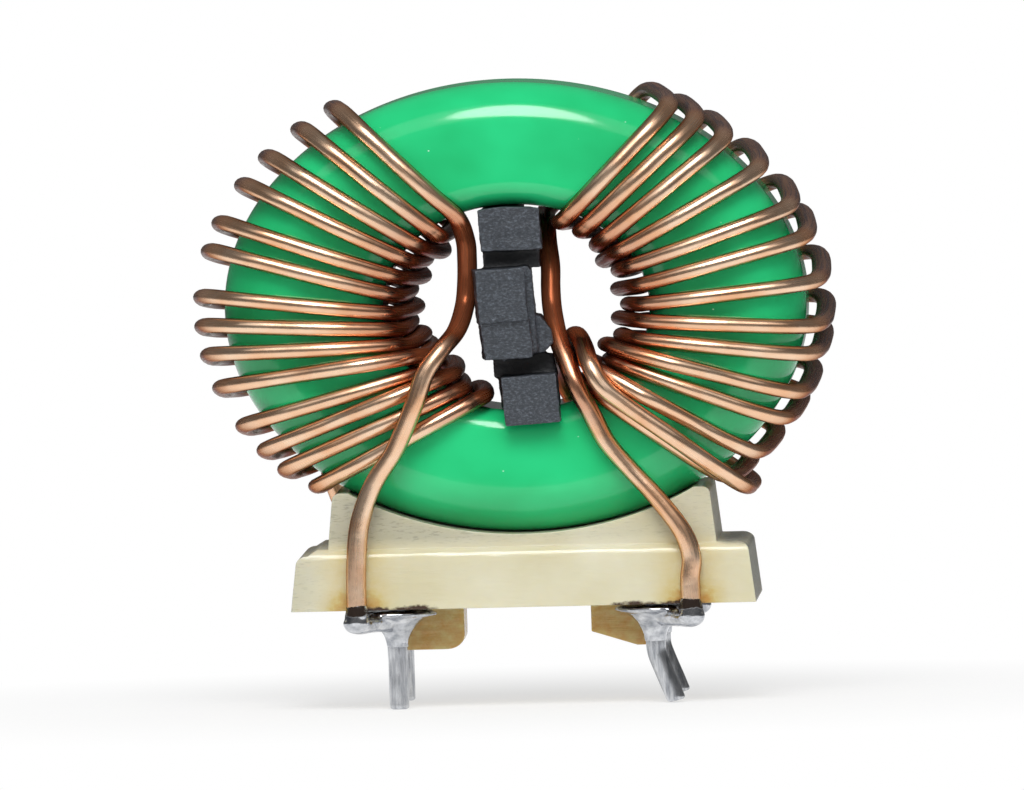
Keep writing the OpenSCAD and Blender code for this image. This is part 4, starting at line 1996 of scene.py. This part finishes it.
@dataclass
class SolderedPin:
    """A tinned pin at one corner of the base, with the solder that holds the wire's end.

    Sizes are in millimetres, and lean is the angle that the pin is bent by, in degrees.
    """

    base: BaseShape
    hand: Hand
    side: Side
    lean: float = 0.0
    radius: float = 0.5
    root_radius: float = 0.52
    root_edge: float = 0.1
    neck: Span = (0.3, -0.5)
    grip: float = 2.75
    tail: float = 3.7
    # How far inwards and how high each ring of the pin's round end lies
    pin_end: tuple[tuple[float, float], ...] = ((0.0, 0.16), (0.03, 0.07), (0.12, 0.0))
    pin_rows: int = 34
    pin_sides: int = 32
    bend_z: float = -0.4
    bend_length: float = 0.9
    # How much of the pin's skin is worn off, how unevenly, and in how many waves to the
    # millimetre round the pin and down it
    wear_and_edge_highlight: float = 0.01
    wear: float = 0.015
    wear_round: float = 2
    wear_down: float = 0.7
    cone_sides: int = 48
    cone_radius: float = 2.1
    cone_tip: float = 0.3
    rim: float = 0.45
    skin: float = 0.05
    lobe_radius: float = 0.72
    # How far the wire's middle stands off the flange
    lobe_out: float = 0.55
    voxel: float = 0.07
    smoothing: int = 14
    # The frozen metal's lumps: their height, and the waves to the millimetre and share of each
    lumps: float = 0.05
    waves: tuple[tuple[float, float], ...] = ((0.9, 1.0), (2.4, 0.4))
    # How dark the solder's top is, and how far outwards of the pin and below its top it
    # darkens, with burnt flux and painted shade under the flange
    dark_edge: float = 0.62
    dark_edge_side: Span = (0.4, 1.4)
    dark_edge_depth: float = 0.55

    @property
    def name(self) -> str:
        """The corner's name, as the nodes use it."""
        row = "front" if self.side is Side.FRONT else "rear"
        return f"{row}_{self.hand.name.lower()}"

    @property
    def place(self) -> Matrix:
        """The move from the corner's pin to the frame, in metres."""
        x, y = self.hand.value * self.base.pitch_x / 2, self.side.value * self.base.pitch_y / 2
        return Matrix.Translation(Vector((x, y, 0)) * MM)

    @property
    def solder_top(self) -> float:
        """Height of the solder's top."""
        return self.base.foot_height - self.base.solder_gap

    def bend(self, point: Vector) -> Vector:
        """Moves a point of a straight pin to where it is on the bent pin.

        Args:
            point: the point, from the pin's own axis.

        Returns:
            The moved point.
        """
        start = self.bend_z + self.bend_length / 2
        down = start - point.z
        total = math.radians(self.lean)
        if total == 0 or down <= 0:
            return point
        curve = self.bend_length / total
        turn = total * min(1.0, max(0.0, down / self.bend_length))
        past = max(0.0, down - self.bend_length)
        x = curve * (1 - math.cos(turn)) + past * math.sin(turn) + point.x * math.cos(turn)
        z = -curve * math.sin(turn) - past * math.cos(turn) + point.x * math.sin(turn)
        return Vector((x, point.y, start + z))

    def build_pin(self, material: Material) -> Object:
        """Builds and dresses the pin.

        Args:
            material: the pin's finish.

        Returns:
            The pin.
        """
        top, bottom = self.base.foot_height + self.grip, -self.tail
        root, end, edge = self.root_radius, self.radius, self.root_edge
        profile = [(root - edge, top), (root, top - edge), (root, self.cone_tip)]
        rings = [(end - inwards, bottom + rise) for inwards, rise in self.pin_end]
        for i in range(1, self.pin_rows):
            z = mix(self.cone_tip, rings[0][1], i / self.pin_rows)
            profile.append((mix(root, end, ramp_up(z, *self.neck)), z))
        profile += rings
        piece = lathe("tinned_pin_" + self.name, profile, self.pin_sides)

        def draw(point: Vector, normal: Vector) -> Vector:
            """Wears a point of the straight pin a little and bends it.

            Args:
                point: the point, in metres from the pin's axis.
                normal: not needed, because the wear goes straight inwards.

            Returns:
                The moved point.
            """
            p = point / MM
            across, down = self.wear_round, self.wear_down
            uneven = self.wear * noise.noise(Vector((p.x * across, p.y * across, p.z * down)))
            flat = Vector((p.x, p.y, 0)).normalized()
            return self.bend(p + flat * (uneven - self.wear_and_edge_highlight)) * MM

        move_points(piece, draw)
        piece.data.transform(self.place)
        shade_smooth(piece)
        finish_piece(piece, material, "tinned_pin", "pin_" + self.name)
        return piece

    def cone(self) -> Outline:
        """Draws the profile of the solder's cone, with a round shoulder and a hollow side.

        Returns:
            The radius and z of each ring, from its top to its tip.
        """
        r, tip = self.cone_radius, self.root_radius + self.skin
        top, steps = self.solder_top, 10
        edge = top - self.rim
        shoulder = ((0.5, 0.0), (0.2, 0.05), (0.03, 0.18))
        profile = [(r - inwards, top - down) for inwards, down in shoulder]
        profile.append((r, edge + 0.1))
        for i in range(1, steps + 1):
            a = math.radians(90 / steps * i)
            drop = (edge - self.cone_tip) * (1 - math.cos(a))
            profile.append((r - (r - tip) * math.sin(a), edge - drop))
        return profile + [(tip - self.skin, self.cone_tip)]

    def lobe(self) -> Object:
        """Builds the solder that runs from the pin to the wire's end and up round it.

        Returns:
            An arm, a ball at the wire's end and a wick round the wire, in one mesh.
        """
        x = self.hand.value * self.base.wire_side
        y = self.side.value * (self.base.half_depth + self.lobe_out - self.base.pitch_y / 2)
        r, sides, steps, least = self.lobe_radius, 24, 9, 0.02
        spot = Matrix.Translation(Vector((x, y, self.solder_top - r)) * MM)
        turns = [math.pi * i / steps for i in range(steps + 1)]
        ball = [(max(least, r * math.sin(a)), r * math.cos(a)) for a in turns]
        arm = [(r * 0.4, 0.2), (r, 0), (r * 0.95, -2), (r * 0.9, -2.9)]
        wick = [(0.5, 1.3), (0.56, 1.1), (0.64, 0.5), (0.68, 0.0)]
        away = Vector((x, y, 0)).to_track_quat("Z", "Y").to_matrix().to_4x4()
        parts = []
        for name, profile, move in (
            ("ball", ball, spot),
            ("arm", arm, spot @ away),
            ("wick", wick, spot),
        ):
            part = lathe(name, profile, sides)
            part.data.transform(move)
            parts.append(part)
        return join(*parts)

    def build_solder(self, material: Material) -> Object:
        """Builds and dresses the solder: a cone and an arm, flowed into each other.

        Args:
            material: the solder's finish.

        Returns:
            The solder.
        """
        cone = lathe("solder_joint_" + self.name, self.cone(), self.cone_sides)
        piece = join(cone, self.lobe())
        piece.data.transform(Matrix.Scale(1 / MM, 4))
        flow = piece.modifiers.new("flow", "REMESH")
        flow.mode = "VOXEL"
        flow.voxel_size = self.voxel
        smooth = piece.modifiers.new("smooth", "SMOOTH")
        smooth.factor = 0.5
        smooth.iterations = self.smoothing
        settle(piece)
        top = self.solder_top
        # Burnt flux and painted shade under the flange, on the solder's top towards the wire
        burnt_and_shade = [
            self.dark_edge
            * ramp_up(vertex.co.x * self.hand.value, *self.dark_edge_side)
            * ramp_up(vertex.co.z, top - self.dark_edge_depth, top)
            for vertex in piece.data.vertices
        ]
        piece.data.attributes.new("char", "FLOAT", "POINT").data.foreach_set("value", burnt_and_shade)
        # Each corner has lumps of its own
        seed = Vector((self.hand.value * 7.3, self.side.value * 3.1, 0))

        def ripple(point: Vector, normal: Vector) -> Vector:
            """Moves a point, given in millimetres, along its normal for the soft lumps."""
            lump = sum(share * noise.noise(point * wave + seed) for wave, share in self.waves)
            return point + normal * (self.lumps * (lump - 0.5))

        move_points(piece, ripple)
        piece.data.transform(self.place @ Matrix.Scale(MM, 4))
        shade_smooth(piece)
        finish_piece(piece, material, "solder", "solder_" + self.name)
        return piece


# ---- Studio -------------------------------------------------------------------------------


def view_direction(azimuth: float, elevation: float) -> Vector:
    """Finds the way from the object to a viewer.

    Args:
        azimuth: the angle round the object in degrees; 0 is the front.
        elevation: the angle above the floor in degrees.

    Returns:
        A vector of length one.
    """
    turn, rise = math.radians(azimuth), math.radians(elevation)
    return Vector(
        (math.sin(turn) * math.cos(rise), -math.cos(turn) * math.cos(rise), math.sin(rise))
    )


@dataclass(frozen=True)
class Softbox:
    """A round or oval lamp that is aimed at the object.

    Its place and its half sizes are angles in degrees, and its distance is in metres.
    """

    name: str
    azimuth: float
    elevation: float
    distance: float
    half_width: float
    half_height: float
    radiance: float
    mirrored: bool = True

    def build(self, target: Vector) -> None:
        """Adds the lamp.

        Args:
            target: the point that it is aimed at, in metres.
        """
        lamp = bpy.data.lights.new(self.name, "AREA")
        lamp.shape = "ELLIPSE"
        lamp.size = 2 * self.distance * math.tan(math.radians(self.half_width))
        lamp.size_y = 2 * self.distance * math.tan(math.radians(self.half_height))
        # An even lamp's power is pi times its radiance and its area
        lamp.energy = self.radiance * math.pi * math.pi / 4 * lamp.size * lamp.size_y
        made = bpy.data.objects.new(self.name, lamp)
        bpy.context.scene.collection.objects.link(made)
        made.visible_glossy = self.mirrored
        direction = view_direction(self.azimuth, self.elevation)
        made.location = target + direction * self.distance
        made.rotation_euler = direction.to_track_quat("Z", "Y").to_euler()


@dataclass(frozen=True)
class Studio:
    """Floor, lamps, world and camera.

    Floor sizes are in millimetres, the camera's angles in degrees, and floor_z, target and
    distance in metres.
    """

    floor_z: float
    target: Vector
    floor_radius: float = 130.0
    floor_corners: int = 96
    paper: str = "#F2F2F2"
    # From the object outwards the floor glows more, until it is as white as the world
    glow_span: Span = (10.0, 45.0)
    least_glow: float = 0.6
    # The world's light on the object, and what a gloss shows of it
    room_light: float = 0.26
    room_shine: float = 0.12
    # The way to the white sheet, and where its edge is
    sheet_way: tuple[float, float, float] = (0.0, 1.0, -5.0)
    sheet_edge: Span = (1.15, 1.6)
    azimuth: float = 1.7
    elevation: float = 2.6
    roll: float = -1.45
    # Height of the view in millimetres, and how much the picture is drawn together sideways
    field_height: float = 51.6
    distance: float = 2.0
    squeeze: float = IMAGE_SIZE[1] / IMAGE_SIZE[0]
    sensor_width: float = 36.0
    farthest: float = 10.0

    def build_floor(self) -> None:
        """Lays a pale floor under the pins.

        It takes shadows as paper does, but glows white to the camera, to glosses and through
        clear parts.
        """
        turns = [2 * math.pi * i / self.floor_corners for i in range(self.floor_corners)]
        r, z = self.floor_radius, self.floor_z / MM
        rim = [(r * math.cos(a), r * math.sin(a), z) for a in turns]
        floor = mesh_object("floor", rim, [tuple(range(self.floor_corners))])
        material, tree = new_material("white_floor")
        paper = add_node(tree, "ShaderNodeBsdfDiffuse", values={"Color": srgb(self.paper)})
        glow = add_node(tree, "ShaderNodeEmission", values={"Color": (1, 1, 1, 1)})
        path = add_node(tree, "ShaderNodeLightPath")
        place = add_node(tree, "ShaderNodeTexCoord").outputs["Object"]
        length = add_node(tree, "ShaderNodeVectorMath", operation="LENGTH", links={0: place})
        near, far = self.glow_span
        glowing = add_node(
            tree, "ShaderNodeMapRange",
            values={"From Min": near * MM, "From Max": far * MM, "To Min": self.least_glow},
            links={"Value": length.outputs["Value"]},
        )
        seen = path.outputs["Is Camera Ray"]
        for operation, other in (
            ("MAXIMUM", path.outputs["Is Glossy Ray"]),
            ("MAXIMUM", path.outputs["Is Transmission Ray"]),
            ("MULTIPLY", glowing),
        ):
            seen = add_node(
                tree, "ShaderNodeMath", operation=operation, links={0: seen, 1: other}
            )
        mixed = add_node(tree, "ShaderNodeMixShader", links={0: seen, 1: paper, 2: glow})
        add_node(tree, "ShaderNodeOutputMaterial", links={"Surface": mixed})
        floor.data.materials.append(material)

    def build_world(self) -> None:
        """Sets a white background and an even grey light.

        A metal or a gloss shows the white sheet where it lies, behind the object and below
        the eye, so that its upper edges stay dark against the room.
        """
        world = bpy.data.worlds.new("studio")
        bpy.context.scene.world = world
        world.use_nodes = True
        tree = world.node_tree
        tree.nodes.clear()
        path = add_node(tree, "ShaderNodeLightPath")
        way = add_node(tree, "ShaderNodeTexCoord")
        behind = add_node(
            tree, "ShaderNodeVectorMath", operation="DOT_PRODUCT", values={1: self.sheet_way},
            links={0: way.outputs["Generated"]},
        )
        low, high = self.sheet_edge
        sheet = add_node(
            tree, "ShaderNodeMapRange", values={"From Min": low, "From Max": high},
            links={"Value": behind.outputs["Value"]},
        )
        mirrored = add_node(
            tree, "ShaderNodeMath", operation="MULTIPLY",
            links={0: path.outputs["Is Glossy Ray"], 1: sheet},
        )
        white = path.outputs["Is Camera Ray"]
        for other in (path.outputs["Is Transmission Ray"], mirrored):
            white = add_node(
                tree, "ShaderNodeMath", operation="MAXIMUM", links={0: white, 1: other}
            )
        level = add_node(
            tree, "ShaderNodeMapRange",
            values={"To Min": self.room_light, "To Max": self.room_shine},
            links={"Value": path.outputs["Is Glossy Ray"]},
        )
        room = add_node(
            tree, "ShaderNodeBackground", values={"Color": (1, 1, 1, 1)},
            links={"Strength": level},
        )
        screen = add_node(
            tree, "ShaderNodeBackground", values={"Color": (1, 1, 1, 1), "Strength": 1.0}
        )
        both = add_node(tree, "ShaderNodeMixShader", links={0: white, 1: room, 2: screen})
        add_node(tree, "ShaderNodeOutputWorld", links={"Surface": both})

    def build_lamps(self) -> None:
        """Adds the soft lamps: a key with a bright middle, and fills that don't mirror."""
        # Name, azimuth, elevation, distance, half width, half height, radiance
        for lamp in (
            Softbox("key_core", 0, 47, 0.5, 12, 14, 9.5),
            Softbox("key_strip", 0, 47, 0.51, 46, 17, 0.75),
            Softbox("key_fill", 0, 34, 0.53, 36, 38, 0.78, mirrored=False),
            Softbox("back_fill", 180, 40, 0.6, 30, 25, 0.5, mirrored=False),
        ):
            lamp.build(self.target)

    def build_camera(self) -> None:
        """Adds the camera on a rig that shears it.

        Its picture plane is turned, so that the view is drawn wider than it is high.
        """
        data = bpy.data.cameras.new("camera")
        width = self.field_height * MM * IMAGE_SIZE[0] / IMAGE_SIZE[1]
        data.sensor_width = self.sensor_width
        data.lens = data.sensor_width * self.distance / width
        data.clip_end = self.farthest
        camera = bpy.data.objects.new("camera", data)
        rig = bpy.data.objects.new("camera_rig", None)
        for made in (camera, rig):
            bpy.context.scene.collection.objects.link(made)
        direction = view_direction(self.azimuth, self.elevation)
        turn = direction.to_track_quat("Z", "Y")
        roll = Matrix.Rotation(math.radians(self.roll), 4, "Z")
        camera.location = self.target + direction * self.distance
        camera.rotation_euler = (turn.to_matrix().to_4x4() @ roll).to_euler()
        world = Matrix.Translation(camera.location) @ camera.rotation_euler.to_matrix().to_4x4()
        sheared = Matrix.Identity(4)
        sheared[0][0] = self.squeeze
        sheared[2][0] = math.sqrt(1 - self.squeeze**2)
        camera.parent = rig
        camera.matrix_parent_inverse = world @ sheared @ world.inverted()
        bpy.context.scene.camera = camera

    def build(self) -> None:
        """Builds the whole studio."""
        bpy.context.scene.view_settings.view_transform = "Standard"
        self.build_floor()
        self.build_world()
        self.build_lamps()
        self.build_camera()


# ---- The whole object ---------------------------------------------------------------------


def main() -> None:
    """Builds every piece in order."""
    logging.basicConfig(level=logging.INFO, format="%(name)s: %(message)s")
    ring = RingShape.from_frame()
    base = BaseShape.from_frame()
    CoatedRing(ring).build()
    copper = EnamelledCopper().build()
    LeftCoil("left_coil", "winding_left", ring, base).build(copper)
    RightCoil("right_coil", "winding_right", ring, base).build(copper)
    MouldedBase(base, ring).build()
    Separator(ring).build()
    tin = DullTin("tinned_pin").build()
    solder = DullTin("solder", grain=(0.6, 0.6, 0.6), roughness=0.15).build()
    # The right pins are bent outwards, in degrees
    leans = {Hand.LEFT: 0.0, Hand.RIGHT: 17.0}
    for hand in Hand:
        for side in Side:
            corner = SolderedPin(base, hand, side, lean=leans[hand])
            corner.build_pin(tin)
            corner.build_solder(solder)
    tail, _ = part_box("pin_front_left")
    view_middle = Vector((-0.0005, 0, 0.01638))
    Studio(floor_z=tail.z, target=view_middle).build()


if __name__ == "__main__":
    main()
